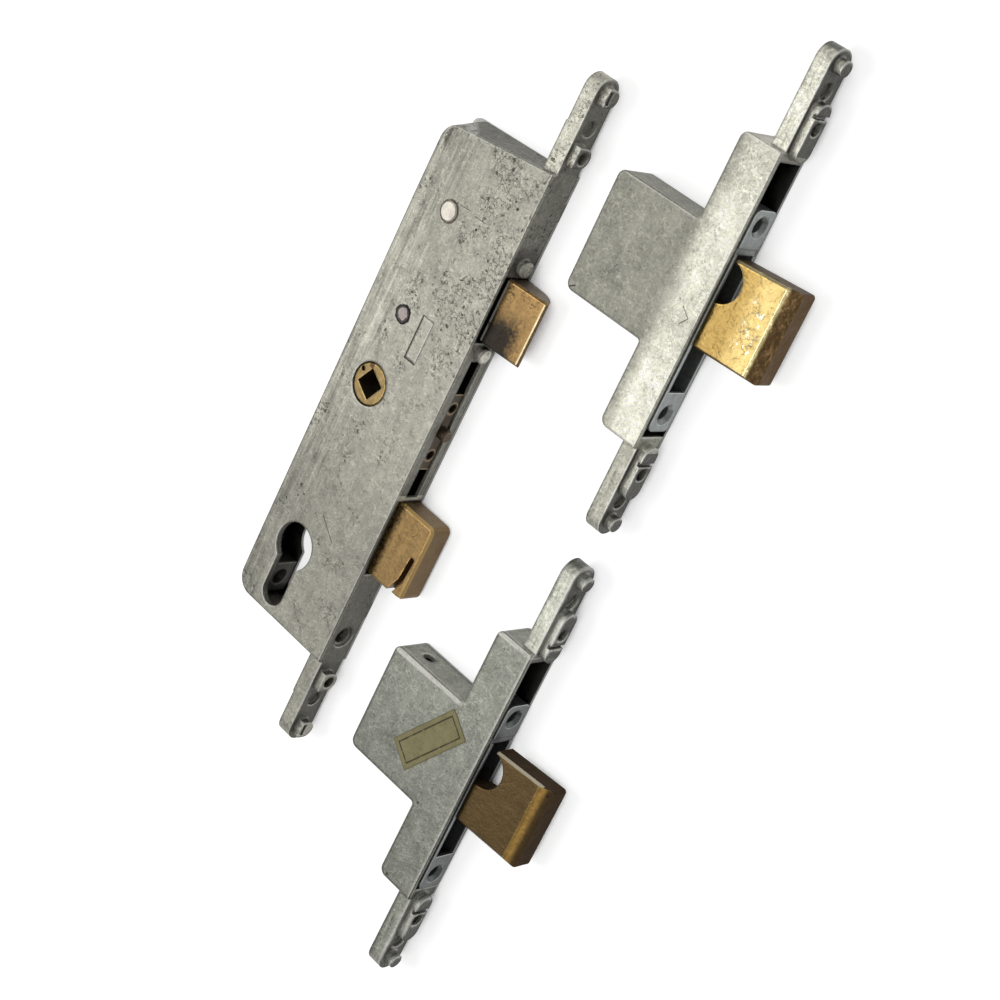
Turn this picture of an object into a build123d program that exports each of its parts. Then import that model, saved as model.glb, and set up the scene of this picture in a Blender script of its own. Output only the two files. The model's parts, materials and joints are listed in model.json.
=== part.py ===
"""Multipoint door lock set, laid flat: one gearbox case and two hook bolt cases.

Millimetres. Z is up, through the thickness of the cases, and their rear covers lie on Z = 0.
The origin is on the spindle axis. +X points out of the door edge, the way the bolts are thrown,
and +Y runs up the door towards the latch end of the gearbox.
"""
import os
from math import asin, atan, cos, degrees, radians, sin, sqrt

from build123d import *

os.makedirs("parts", exist_ok=True)

# Shared sizes
case_depth = 14.0
cover_sheet = 1.0
working_gap = 0.3
journal_gap = 0.05
rivet_gap = 0.02
mid_height = case_depth / 2
eps = 0.01

# Gearbox case
main_back = 17.0
main_front = 32.0
main_top = 98.8
main_top_back_near = 92.9
main_top_back_far = 96.1
main_bottom = 96.0
side_wall = 1.8
near_wall = 2.6
front_wall = 3.8
main_corner = 7.0
cover_top_corner = 3.0
edge_break = 0.4

# Tongues that the connecting rods are fixed to
tongue_width = 10.8
tongue_thickness = 5.8
tongue_pad = 0.4
main_tongue_length = 34.8
faceplate = 3.0
boss_height = 2.8
boss_radius = 3.6
boss_flat = 3.7
boss_offset = 7.7
boss_bore = 2.3
boss_bore_depth = 7.0
dimple_offset = 17.0
dimple_radius = 2.8
dimple_depth = 1.2
nub_offset = 29.0
nub_radius = 3.2
nub_flat = 2.7
nub_slot_width = 1.3
nub_slot_length = 4.6
nub_slot_depth = 2.4

# Spindle follower
spindle_square = 8.0
square_turn = -29.0
follower_disc = 7.85
disc_chamfer = 0.7
disc_sink = 0.25
hub_radius = 9.4
arm_length = 23.0
arm_tip_radius = 2.4
arm_root_radius = 5.0
arm_neck_radius = 1.5
arm_height = 6.0
cam_reach = 17.5
cam_tip = 1.6
cam_root = 6.0
cam_turn = 27.5
dot_radius = 0.9
dot_depth = 1.2
dot_x = -5.4
dot_y = 3.1

# Drive slide behind the front slot
slot_low = 26.0
slot_high = 28.6
slot_width = 5.8
slide_low = 14.9
slide_high = 15.4
slide_sink = 0.7
slide_rib_gap = 0.5
flange_thickness = 2.8
flange_overlap = 1.2
fork_depth = 5.2
fork_thickness = 4.6
fork_height_gap = 0.5
fork_gap = 0.35
tap_offset = 9.4
tap_radius = 1.65
tap_depth = 5.0
slide_stud_radius = 2.3
slide_stud_reach = 2.6
slide_stud_root = 2.0

# Latch bolt
latch_low = 36.3
latch_high = 60.5
latch_reach = 16.0
latch_inside = 10.6
latch_face = 10.5
latch_nose_height = 8.2
latch_tip_height = 7.3
latch_bevel = 9.5
latch_travel = 15.4
latch_window_gap = 0.5
latch_window_height = 13.0
latch_edge_bevel = 0.4
latch_bulge = 1.0
tail_length = 13.6
tail_width = 8.8
tail_height = 4.0
tail_base = 4.0
latch_chamfer = 0.7
spring_radius = 2.6
spring_wall = 0.8
spring_centre = 56.4
spring_pocket = 8.0
spring_pocket_gap = 0.5
spring_seat = 2.2
spring_seat_margin = 1.0
spring_drop = 1.0

# Latch lever on its post
post_x = 0.45
post_y = 28.3
post_radius = 2.75
post_dome = 0.15
lever_reach = 19.7
lever_sheet = 2.4
lever_pin_radius = 1.6
lever_pin_gap = 0.4
lever_pin_play = 1.3
lever_hub = 4.4
lever_tip = 2.9
lever_toe = 13.0
lever_toe_tip = 2.0
lever_toe_turn = -48.0

# Deadbolt
bolt_high = -28.0
bolt_low = -57.8
bolt_reach = 17.2
bolt_rear = 2.4
bolt_face = 10.5
bolt_inner_top = 7.0
bolt_window_height = 12.2
bolt_window_gap = 0.35
bolt_corner = 2.6
bolt_chamfer = 0.9
bolt_step_from = 8.2
bolt_step_to = 0.9
bolt_step = 0.9
bolt_step_round = 0.6
groove_width = 2.1
groove_depth = 3.4
groove_start = 3.1
groove_drop = 14.6
groove_bend = 3.8
groove_turn = 23.6
groove_exit = 6.6
talon_from = 5.5
talon_to = 15.5
talon_depth = 5.8
guide_post_x = 8.0
guide_post_y = -46.0
guide_post_radius = 2.2

# Rivets and the block with the flush tenon
top_rivet_y = 67.7
top_rivet_radius = 2.8
top_rivet_head = 3.6
top_rivet_dome = 0.7
top_rivet_chamfer = 0.55
tenon_x = 11.4
tenon_y = 24.5
tenon_width = 5.0
tenon_height = 15.8
block_width = 8.6
block_low = 5.0
block_corner = 1.0

# Profile cylinder opening
cylinder_centre = 68.0
cylinder_radius = 8.8
lobe_width = 10.4
cylinder_height = 33.8
fixing_y = -85.6
fixing_radius = 3.2
fixing_recess = 4.3
fixing_recess_depth = 1.0
channel_half = 6.2

# Studs on the front wall
stud_radius = 2.9
stud_height = 2.4
stud_high_y = 65.0
stud_low_y = 31.9

# Cast lugs along the rims of the trays, staked in notches of the covers
lug_length = 7.0
lug_width = 1.2

# Hook bolt cases
upper_place = (105.4, 41.85)
upper_turn = 1.15
lower_place = (109.35, -140.3)
lower_turn = 0.85
strip_length = 103.3
strip_depth = 16.0
box_depth = 50.1
box_low = 30.1
box_high = 72.9
hook_wall = 1.6
hook_near_wall = 1.3
hook_corner = 3.0
hook_inner_corner = 1.2
end_wall_low = 4.25
end_wall_high = 3.2
oblong_length = 17.6
oblong_radius = 3.6
oblong_groove = 1.4
oblong_groove_depth = 1.2
round_nub_radius = 2.6
wall_hole_x = -40.1
wall_hole_radius = 2.3

# Tongues of a hook case, all lengths counted from its end
hook_tongue_high = 34.2
hole_high = 9.4
groove_high_upper = 13.2
groove_high_lower = 4.6
dimple_high = 20.6
nub_high = 29.0
hook_tongue_low = 32.2
hole_low = 8.2
groove_low = 4.6
dimple_low = 19.8
nub_low = 27.2

# Carriage of a hook case
carriage_low = 6.6
carriage_high = 84.6
carriage_sheet = 1.2
carriage_web = 1.5
carriage_proud = 0.6
carriage_depth = 9.4
carriage_corner = 2.4
window_low = 20.8
window_high = 69.1
anchor_low = 12.7
anchor_high = 78.9
anchor_bore = 2.4
anchor_sink = 3.7
anchor_dish = 1.4
thread_length = 3.6
end_block = 11.0
lip_reach = 2.2
lip_step = 0.5
stroke_ratio = 1.6
stroke_left = 2.0
lower_hook_lead = 2.3

# Hook bolt
hook_reach = 26.4
hook_low = 37.2
hook_high = 69.9
hook_top_fall = 2.0
hook_low_rise = 1.2
hook_slack = 0.35
hook_tail = 15.5
hook_tail_high = 50.5
throat_x = -0.3
throat_y = 60.0
throat_radius = 7.2
throat_ramp = 6.0
beak_x = 0.7
hook_nose_bevel = 5.5
hook_nose_bevel_depth = 1.2
hook_edge = 0.8
hook_corner_round = 1.2

# Pin and cam groove that drive a hook bolt
drive_pin_x = -6.0
drive_pin_y = 42.5
drive_pin_radius = 2.2
drive_pin_length = 2.9
cam_gap = 0.3
cam_depth = 3.2
drive_travel = 17.2
top_rib_front = -32.2
guide_rib = 2.4
guide_rib_back = -42.0
guide_rib_front = -10.5

# Worked out from the sizes above
inner_height = case_depth - near_wall - cover_sheet
inner_top = cover_sheet + inner_height
main_lugs = [(-main_back, 78.0, "E"), (-main_back, 0.0, "E"), (-main_back, -72.0, "E"),
             (main_front, 86.0, "W"), (main_front, -74.0, "W"), (8.0, -main_bottom, "N")]
hook_lugs = [(-box_depth, (box_low + box_high) / 2, "E"), (-strip_depth, 15.0, "E"),
             (-strip_depth, 88.0, "E"), (-strip_depth / 2, strip_length, "S"), (-strip_depth / 2, 0.0, "N")]
front_inside = main_front - front_wall
back_inside = -main_back + side_wall
floor_height = cover_sheet + working_gap
cylinder_bottom = -cylinder_centre + cylinder_radius - cylinder_height
hook_inner_top = case_depth - hook_near_wall
rail_low = cover_sheet + working_gap
rail_high = hook_inner_top - working_gap
hook_far = rail_low + carriage_sheet + hook_slack
hook_near = rail_high - carriage_sheet - working_gap
latch_rear = front_inside - latch_inside
bolt_head_rear = guide_post_x + bolt_reach + guide_post_radius + 2 * working_gap
anchor_taper = degrees(atan((anchor_sink - anchor_bore) / anchor_dish))
spring_height = mid_height - spring_drop
lever_half = asin(latch_travel / 2 / lever_reach)
pin_x = post_x + lever_reach * sin(lever_half)
pin_y = post_y + lever_reach * cos(lever_half)
pin_middle = (pin_y + post_y + lever_reach) / 2


def front_plane(x, foot=0.0):
    """Plane on the front of a case: its X runs up the door and its Y through the thickness."""
    return Plane(origin=(x, foot, 0), x_dir=(0, 1, 0), z_dir=(1, 0, 0))


def save(part, name, place=None):
    """Label a finished piece, set it in its place in the shared frame and write it."""
    piece = part if place is None else part.moved(place)
    piece.label = name
    export_step(piece, f"parts/{name}.step")


def cylinder_profile(plane):
    """Profile cylinder opening: a circle with a lobe that hangs below it."""
    with BuildSketch(plane, mode=Mode.PRIVATE) as profile:
        with Locations((0, -cylinder_centre)):
            Circle(cylinder_radius)
        lobe_end = cylinder_bottom + lobe_width / 2
        with Locations((0, (lobe_end - cylinder_centre) / 2)):
            Rectangle(lobe_width, -cylinder_centre - lobe_end)
        with Locations((0, lobe_end)):
            Circle(lobe_width / 2)
    return profile.sketch


def tongue_shape(plane, base, length, way):
    """Flat tab with a full-round end, drawn on the front of a case."""
    with BuildSketch(plane, mode=Mode.PRIVATE) as tab:
        straight = length - tongue_width / 2
        with Locations((base + way * (straight - side_wall) / 2, mid_height)):
            Rectangle(straight + side_wall, tongue_width)
        with Locations((base + way * straight, mid_height)):
            Circle(tongue_width / 2)
    return tab.sketch


def pad_shape(plane, base, length, way):
    """Thicker stretch on the back of a tongue, next to the case."""
    with BuildSketch(plane, mode=Mode.PRIVATE) as pad:
        with Locations((base + way * (length - side_wall) / 2, mid_height)):
            Rectangle(length + side_wall, tongue_width)
    return pad.sketch


def d_shape(plane, centre, radius, flat):
    """Round boss with one flat side towards the plate."""
    with BuildSketch(plane, mode=Mode.PRIVATE) as boss:
        with Locations((centre, mid_height)):
            Circle(radius)
        with Locations((centre, mid_height + flat / 2)):
            Rectangle(2 * radius, flat)
    return boss.sketch


def round_spots(plane, centres, radius):
    """Circles at the given places on a plane."""
    with BuildSketch(plane, mode=Mode.PRIVATE) as spots:
        with Locations(*centres):
            Circle(radius)
    return spots.sketch


def link_shape(plane, ends, radii):
    """Straight link between two round ends."""
    with BuildSketch(plane, mode=Mode.PRIVATE) as link:
        for end, radius in zip(ends, radii):
            with Locations(end):
                Circle(radius)
        make_hull()
    return link.sketch


def lug_shapes(lugs, gap=0.0):
    """Rectangles on the rim of a case, each inside the edge that it is listed for by compass."""
    inward = {"E": (1, 0), "W": (-1, 0), "N": (0, 1), "S": (0, -1)}
    with BuildSketch(Plane.XY, mode=Mode.PRIVATE) as rim:
        for x, y, way in lugs:
            dx, dy = inward[way]
            across = lug_width + gap
            along = lug_length + 2 * gap
            with Locations((x + dx * across / 2, y + dy * across / 2)):
                Rectangle(across if dx else along, across if dy else along)
    return rim.sketch


# Cast tray of the gearbox: near wall, side walls, front wall and both tongues
with BuildPart() as main_case:
    # The top wall leans, because its near edge falls more towards the back than its far edge
    for height, top_back in ((cover_sheet, main_top_back_far), (case_depth, main_top_back_near)):
        with BuildSketch(Plane.XY.offset(height)):
            with BuildLine():
                Polyline((-main_back, -main_bottom), (main_front, -main_bottom), (main_front, main_top),
                         (-main_back, top_back), close=True)
            make_face()
    loft(ruled=True)
    upright = main_case.edges().filter_by(lambda e: abs(e.center().Z - (case_depth + cover_sheet) / 2) < eps)
    fillet(upright.group_by(Axis.X)[0], main_corner)
    chamfer(main_case.faces().sort_by(Axis.Z)[-1].edges(), edge_break)
    with BuildSketch(Plane.XY.offset(cover_sheet)):
        room_low = side_wall - main_bottom
        room_high = main_top_back_near - side_wall
        with Locations(((front_inside + back_inside) / 2, (room_high + room_low) / 2)):
            Rectangle(front_inside - back_inside, room_high - room_low)
    extrude(amount=inner_height, mode=Mode.SUBTRACT)
    for base, way in ((main_top, 1), (-main_bottom, -1)):
        face = front_plane(main_front)
        extrude(tongue_shape(face, base, main_tongue_length, way), amount=-tongue_thickness)
        pad = pad_shape(front_plane(main_front - tongue_thickness), base, dimple_offset, way)
        extrude(pad, amount=-tongue_pad)
        boss = base + way * boss_offset
        nub = base + way * nub_offset
        extrude(d_shape(face, boss, boss_radius, boss_flat), amount=boss_height)
        extrude(d_shape(face, nub, nub_radius, nub_flat), amount=boss_height)
        bore = round_spots(front_plane(main_front + boss_height), [(boss, mid_height)], boss_bore)
        extrude(bore, amount=-boss_bore_depth, mode=Mode.SUBTRACT)
        dimple = round_spots(face, [(base + way * dimple_offset, mid_height)], dimple_radius)
        extrude(dimple, amount=-dimple_depth, mode=Mode.SUBTRACT)
        with BuildSketch(front_plane(main_front + boss_height)):
            with Locations((nub, mid_height + nub_flat / 2)):
                Rectangle(nub_slot_length, nub_slot_width)
        extrude(amount=-nub_slot_depth, mode=Mode.SUBTRACT)
    # Windows for the latch and the deadbolt, and the slot of the drive slide
    with BuildSketch(front_plane(main_front)):
        low = latch_low - latch_window_gap
        high = latch_high + latch_window_gap
        with Locations(((low + high) / 2, (cover_sheet + latch_window_height) / 2)):
            Rectangle(high - low, latch_window_height - cover_sheet)
        low = bolt_low - bolt_window_gap
        high = bolt_high + bolt_window_gap
        with Locations(((low + high) / 2, (cover_sheet + bolt_window_height) / 2)):
            Rectangle(high - low, bolt_window_height - cover_sheet)
        with Locations(((slot_high - slot_low) / 2, mid_height)):
            Rectangle(slot_high + slot_low, slot_width)
    extrude(amount=-front_wall - eps, mode=Mode.SUBTRACT)
    # Studs above and below the latch, which locate the faceplate
    stud_spots = [(stud_high_y, mid_height), (stud_low_y, mid_height)]
    extrude(round_spots(front_plane(main_front), stud_spots, stud_radius), amount=stud_height)
    chamfer(main_case.edges().filter_by(GeomType.CIRCLE).filter_by(
        lambda e: abs(e.center().X - main_front - stud_height) < eps), edge_break)
    # Fixing screw channel on both sides of the cylinder opening
    with BuildSketch(Plane.XY.offset(cover_sheet)):
        inner = lobe_width / 2 + working_gap
        for low, high in ((inner, front_inside), (back_inside, -inner)):
            with Locations(((low + high) / 2, fixing_y)):
                Rectangle(high - low + 2 * eps, 2 * channel_half)
    extrude(amount=inner_height + eps)
    # Lugs for the cover, the post that guides the deadbolt and the seat of the latch spring
    extrude(lug_shapes(main_lugs), amount=2 * cover_sheet)
    extrude(round_spots(Plane.XY.offset(cover_sheet), [(guide_post_x, guide_post_y)],
                        guide_post_radius), amount=inner_height + eps)
    with BuildSketch(Plane.XY.offset(cover_sheet)):
        with Locations((back_inside + spring_seat / 2 - eps, spring_centre)):
            Rectangle(spring_seat, 2 * (spring_radius + spring_seat_margin))
    extrude(amount=inner_height + eps)
    # Openings through the near wall
    above = Plane.XY.offset(case_depth)
    extrude(cylinder_profile(above), amount=-case_depth, mode=Mode.SUBTRACT)
    extrude(round_spots(above, [(0, 0)], follower_disc + journal_gap),
            amount=-near_wall - eps, mode=Mode.SUBTRACT)
    extrude(round_spots(above, [(0, top_rivet_y)], top_rivet_radius + rivet_gap),
            amount=-near_wall - eps, mode=Mode.SUBTRACT)
    extrude(round_spots(above, [(post_x, post_y)], post_radius + rivet_gap),
            amount=-near_wall - eps, mode=Mode.SUBTRACT)
    with BuildSketch(above):
        with Locations((tenon_x, tenon_y)):
            Rectangle(tenon_width + 2 * rivet_gap, tenon_height + 2 * rivet_gap)
    extrude(amount=-near_wall - eps, mode=Mode.SUBTRACT)
    # Bore of the cylinder fixing screw
    entry = front_plane(main_front)
    extrude(round_spots(entry, [(fixing_y, mid_height)], fixing_radius),
            amount=-main_front - main_back + side_wall, mode=Mode.SUBTRACT)
    extrude(round_spots(entry, [(fixing_y, mid_height)], fixing_recess),
            amount=-fixing_recess_depth, mode=Mode.SUBTRACT)
save(main_case.part, "main_case")

# Sheet cover on the back of the gearbox
with BuildPart() as main_cover:
    with BuildSketch(Plane.XY) as outline:
        with BuildLine():
            Polyline((-main_back, -main_bottom), (main_front, -main_bottom), (main_front, main_top),
                     (-main_back, main_top_back_far), close=True)
        make_face()
        back = outline.vertices().group_by(Axis.X)[0].sort_by(Axis.Y)
        fillet(back[-1], cover_top_corner)
        back = outline.vertices().group_by(Axis.Y)[0].sort_by(Axis.X)
        fillet(back[0], main_corner)
    extrude(amount=cover_sheet)
    extrude(cylinder_profile(Plane.XY), amount=cover_sheet, mode=Mode.SUBTRACT)
    for spot, radius in (((0, 0), follower_disc + journal_gap),
                         ((0, top_rivet_y), top_rivet_radius + rivet_gap),
                         ((post_x, post_y), post_radius + rivet_gap)):
        extrude(round_spots(Plane.XY, [spot], radius), amount=cover_sheet, mode=Mode.SUBTRACT)
    extrude(lug_shapes(main_lugs, rivet_gap), amount=cover_sheet, mode=Mode.SUBTRACT)
save(main_cover.part, "main_cover")

# Rivet that ties the tray to the cover above the latch, with a low round head
with BuildPart() as top_rivet:
    spot = [(0, top_rivet_y)]
    extrude(round_spots(Plane.XY, spot, top_rivet_radius), amount=case_depth)
    extrude(round_spots(Plane.XY.offset(case_depth), spot, top_rivet_head), amount=top_rivet_dome)
    chamfer(top_rivet.edges().group_by(Axis.Z)[-1], top_rivet_chamfer)
save(top_rivet.part, "top_rivet")

# Post of the latch lever, peened flush into the near wall
with BuildPart() as lever_post:
    extrude(round_spots(Plane.XY, [(post_x, post_y)], post_radius), amount=case_depth + post_dome)
save(lever_post.part, "latch_lever_post")

# Stop block under the near wall, held by the tenon that shows flush in it
with BuildPart() as guide_block:
    with BuildSketch(Plane.XY.offset(block_low)):
        left = tenon_x - tenon_width / 2
        with Locations((left + block_width / 2, tenon_y)):
            Rectangle(block_width, tenon_height)
    extrude(amount=inner_top - block_low)
    with BuildSketch(Plane.XY.offset(inner_top)):
        with Locations((tenon_x, tenon_y)):
            Rectangle(tenon_width, tenon_height)
    extrude(amount=near_wall)
    fillet(guide_block.edges().filter_by(Axis.Z).group_by(Axis.X)[-1], block_corner)
save(guide_block.part, "guide_block")

# Brass follower: journals, hub, spindle square, drive arm, and the nose that lifts the latch lever
with BuildPart() as follower:
    with BuildSketch(Plane.XY.offset(disc_sink)):
        Circle(follower_disc)
    extrude(amount=case_depth - 2 * disc_sink)
    chamfer(follower.edges().group_by(Axis.Z)[-1], disc_chamfer)
    with BuildSketch(Plane.XY.offset(floor_height)):
        Circle(hub_radius)
    extrude(amount=inner_height - 2 * working_gap)
    arm_base = Plane.XY.offset(mid_height - arm_height / 2)
    arm = link_shape(arm_base, [(0, 0), (arm_length, 0)], [arm_root_radius, arm_neck_radius])
    extrude(arm, amount=arm_height)
    extrude(round_spots(arm_base, [(arm_length, 0)], arm_tip_radius), amount=arm_height)
    nose = (cam_reach * cos(radians(cam_turn)), cam_reach * sin(radians(cam_turn)))
    cam = link_shape(Plane.XY.offset(floor_height), [(0, 0), nose], [cam_root, cam_tip])
    extrude(cam, amount=lever_sheet)
    with BuildSketch(Plane.XY.offset(case_depth)):
        Rectangle(spindle_square, spindle_square, rotation=square_turn)
    extrude(amount=-case_depth, mode=Mode.SUBTRACT)
    extrude(round_spots(Plane.XY.offset(case_depth), [(dot_x, dot_y)], dot_radius),
            amount=-dot_depth - disc_sink, mode=Mode.SUBTRACT)
save(follower.part, "follower")

# Drive slide: a rib in the front slot, a wider flange behind it and the fork for the arm
rib_width = slot_width - 2 * slide_rib_gap
rib_front = main_front - slide_sink
flange_front = front_inside - working_gap
with BuildPart() as drive_slide:
    slide_length = slide_low + slide_high
    slide_middle = (slide_high - slide_low) / 2
    with BuildSketch(front_plane(rib_front)):
        with Locations((slide_middle, mid_height)):
            Rectangle(slide_length, rib_width)
    extrude(amount=-(rib_front - flange_front + eps))
    with BuildSketch(front_plane(flange_front)):
        with Locations((slide_middle, mid_height)):
            Rectangle(slide_length, slot_width + 2 * flange_overlap)
    extrude(amount=-flange_thickness)
    with BuildSketch(front_plane(flange_front - flange_thickness + eps)):
        reach = arm_tip_radius + fork_gap + fork_thickness / 2
        with Locations((reach, mid_height), (-reach, mid_height)):
            Rectangle(fork_thickness, arm_height + 2 * fork_height_gap)
    extrude(amount=-fork_depth)
    with BuildSketch(Plane.XY.offset(mid_height - slot_width / 2 - flange_overlap)):
        with Locations((arm_length, 0)):
            Circle(arm_tip_radius + fork_gap)
    extrude(amount=slot_width + 2 * flange_overlap, mode=Mode.SUBTRACT)
    taps = [(slide_middle + tap_offset, mid_height), (slide_middle - tap_offset, mid_height)]
    extrude(round_spots(front_plane(rib_front), taps, tap_radius), amount=-tap_depth,
            mode=Mode.SUBTRACT)
    stud_hole = round_spots(front_plane(rib_front), [(slide_middle, mid_height)],
                            slide_stud_radius + rivet_gap)
    extrude(stud_hole, amount=-slide_stud_root, mode=Mode.SUBTRACT)
save(drive_slide.part, "drive_slide")

# Stud riveted to the slide, which the lock rods and the faceplate slot meet
with BuildPart() as slide_stud:
    extrude(round_spots(front_plane(rib_front - slide_stud_root), [(slide_middle, mid_height)],
                        slide_stud_radius), amount=slide_stud_root + slide_sink + slide_stud_reach)
    chamfer(slide_stud.edges().group_by(Axis.X)[-1], edge_break)
save(slide_stud.part, "slide_stud")

# Latch bolt: a head with a curved bevel on its far side, and a flat tail
with BuildPart() as latch_bolt:
    nose = main_front + latch_reach
    with BuildSketch(Plane.XZ.offset(-latch_high)) as side:
        with BuildLine():
            Polyline((nose, latch_tip_height), (nose - latch_edge_bevel, latch_nose_height),
                     (main_front, latch_face), (latch_rear, latch_face),
                     (latch_rear, floor_height), (nose - latch_bevel, floor_height))
            ThreePointArc((nose - latch_bevel, floor_height),
                          (nose - latch_bevel / 3, (floor_height + latch_tip_height) / 2 - latch_bulge),
                          (nose, latch_tip_height))
        make_face()
    extrude(amount=latch_high - latch_low)
    side_edges = latch_bolt.faces().filter_by(Axis.Y).edges()
    chamfer(side_edges.filter_by(lambda e: e.center().Z > latch_nose_height), latch_chamfer)
    with BuildSketch(Plane.XY.offset(tail_base)):
        with Locations((latch_rear - tail_length / 2, pin_middle)):
            Rectangle(tail_length + 2 * eps, tail_width)
    extrude(amount=tail_height)
    with BuildSketch(Plane.XY.offset(tail_base)):
        with Locations((pin_x, pin_middle)):
            Rectangle(2 * (lever_pin_radius + lever_pin_gap), 2 * (lever_pin_radius + lever_pin_play))
    extrude(amount=tail_height, mode=Mode.SUBTRACT)
    pocket = Plane(origin=(latch_rear, spring_centre, spring_height), x_dir=(0, 1, 0), z_dir=(1, 0, 0))
    with BuildSketch(pocket) as hole:
        Circle(spring_radius + spring_pocket_gap)
    extrude(hole.sketch, amount=spring_pocket, mode=Mode.SUBTRACT)
save(latch_bolt.part, "latch_bolt")

# Latch spring, from the back wall into the pocket of the latch bolt
with BuildPart() as latch_spring:
    start = back_inside + spring_seat
    length = latch_rear + spring_pocket - start
    place = Plane(origin=(start, spring_centre, spring_height), x_dir=(0, 1, 0), z_dir=(1, 0, 0))
    with BuildSketch(place):
        Circle(spring_radius)
        Circle(spring_radius - spring_wall, mode=Mode.SUBTRACT)
    extrude(amount=length)
save(latch_spring.part, "latch_spring")

# Lever that draws the latch: hub on the post, pin in the tail, and the arm by the follower
with BuildPart() as latch_lever:
    base = Plane.XY.offset(floor_height)
    pivot = (post_x, post_y)
    extrude(link_shape(base, [pivot, (pin_x, pin_y)], [lever_hub, lever_tip]), amount=lever_sheet)
    turn = radians(lever_toe_turn)
    toe = (post_x + lever_toe * cos(turn), post_y + lever_toe * sin(turn))
    extrude(link_shape(base, [pivot, toe], [lever_hub, lever_toe_tip]), amount=lever_sheet)
    extrude(round_spots(base, [(pin_x, pin_y)], lever_pin_radius),
            amount=tail_base + tail_height - floor_height)
    extrude(round_spots(base, [pivot], post_radius + journal_gap),
            amount=inner_height, mode=Mode.SUBTRACT)
save(latch_lever.part, "latch_lever")

# Deadbolt: chamfered head, thinner body behind it, with the talon for the cylinder's cam
with BuildPart() as deadbolt:
    bolt_nose = main_front + bolt_reach
    with BuildSketch(Plane.XY.offset(floor_height)) as plan:
        with Locations(((bolt_nose + bolt_rear) / 2, (bolt_high + bolt_low) / 2)):
            Rectangle(bolt_nose - bolt_rear, bolt_high - bolt_low)
        fillet(plan.vertices().group_by(Axis.X)[-1], bolt_corner)
    extrude(amount=bolt_face - floor_height)
    chamfer(deadbolt.faces().sort_by(Axis.Z)[-1].edges().sort_by(Axis.X)[1:], bolt_chamfer)
    with BuildSketch(Plane.XY.offset(floor_height)) as step:
        low = bolt_nose - bolt_step_from
        high = bolt_nose - bolt_step_to
        with Locations(((low + high) / 2, bolt_low + bolt_step / 2)):
            Rectangle(high - low, bolt_step)
        fillet(step.vertices().group_by(Axis.Y)[-1], bolt_step_round)
    extrude(amount=bolt_face, mode=Mode.SUBTRACT)
    with BuildSketch(Plane.XY.offset(bolt_inner_top)):
        with Locations(((bolt_rear + bolt_head_rear) / 2, (bolt_high + bolt_low) / 2)):
            Rectangle(bolt_head_rear - bolt_rear, bolt_high - bolt_low)
    extrude(amount=bolt_face, mode=Mode.SUBTRACT)
    with BuildSketch(Plane.XY.offset(floor_height)):
        with Locations(((talon_from + talon_to) / 2, bolt_low + talon_depth / 2)):
            Rectangle(talon_to - talon_from, talon_depth)
        with Locations((guide_post_x + bolt_reach / 2, guide_post_y)):
            SlotCenterToCenter(bolt_reach, 2 * (guide_post_radius + working_gap))
    extrude(amount=bolt_inner_top, mode=Mode.SUBTRACT)
    # Open-ended groove in the near face of the head, as two links between round ends
    high = (bolt_nose - groove_start, bolt_high - groove_drop)
    bend = (bolt_nose - groove_bend, bolt_high - groove_turn)
    end = (bolt_nose - groove_exit, bolt_low)
    for a, b in ((high, bend), (bend, end)):
        stretch = link_shape(Plane.XY.offset(bolt_face), [a, b], [groove_width / 2, groove_width / 2])
        extrude(stretch, amount=-groove_depth, mode=Mode.SUBTRACT)
save(deadbolt.part, "deadbolt")


def hook_outline(sketch_plane, sunk=0.0):
    """Outline of a hook case: a strip behind the faceplate with a box on its back."""
    with BuildSketch(sketch_plane, mode=Mode.PRIVATE) as outline:
        with Locations((-strip_depth / 2, strip_length / 2)):
            Rectangle(strip_depth, strip_length)
        with Locations((-(box_depth + strip_depth) / 2, (box_low + box_high) / 2)):
            Rectangle(box_depth - strip_depth + eps, box_high - box_low)
        corners = outline.vertices().group_by(Axis.X)
        fillet(corners[0], hook_corner)
        ends = outline.vertices().filter_by(lambda v: abs(v.X + strip_depth) < eps).sort_by(Axis.Y)
        fillet([ends[0], ends[-1]], hook_corner)
        ends = outline.vertices().filter_by(lambda v: abs(v.X + strip_depth) < eps
                                            and box_low - eps < v.Y < box_high + eps)
        fillet(ends, hook_inner_corner)
    return outline.sketch


def cavity_outline(sketch_plane):
    """Room inside a hook case, open to the front."""
    with BuildSketch(sketch_plane, mode=Mode.PRIVATE) as room:
        low = end_wall_low
        high = strip_length - end_wall_high
        with Locations(((hook_wall - strip_depth + eps) / 2, (low + high) / 2)):
            Rectangle(strip_depth - hook_wall + eps, high - low)
        with Locations((-(box_depth + strip_depth) / 2 + hook_wall, (box_low + box_high) / 2)):
            Rectangle(box_depth - strip_depth + 2 * eps, box_high - box_low - 2 * hook_wall)
    return room.sketch


def oblong_boss(base, way):
    """Long round-ended boss on a tongue, with a groove across it."""
    far = base + way * (oblong_length - oblong_radius)
    near = base + way * side_wall
    return link_shape(front_plane(0), [(near, mid_height), (far, mid_height)],
                      [oblong_radius, oblong_radius])


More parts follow.
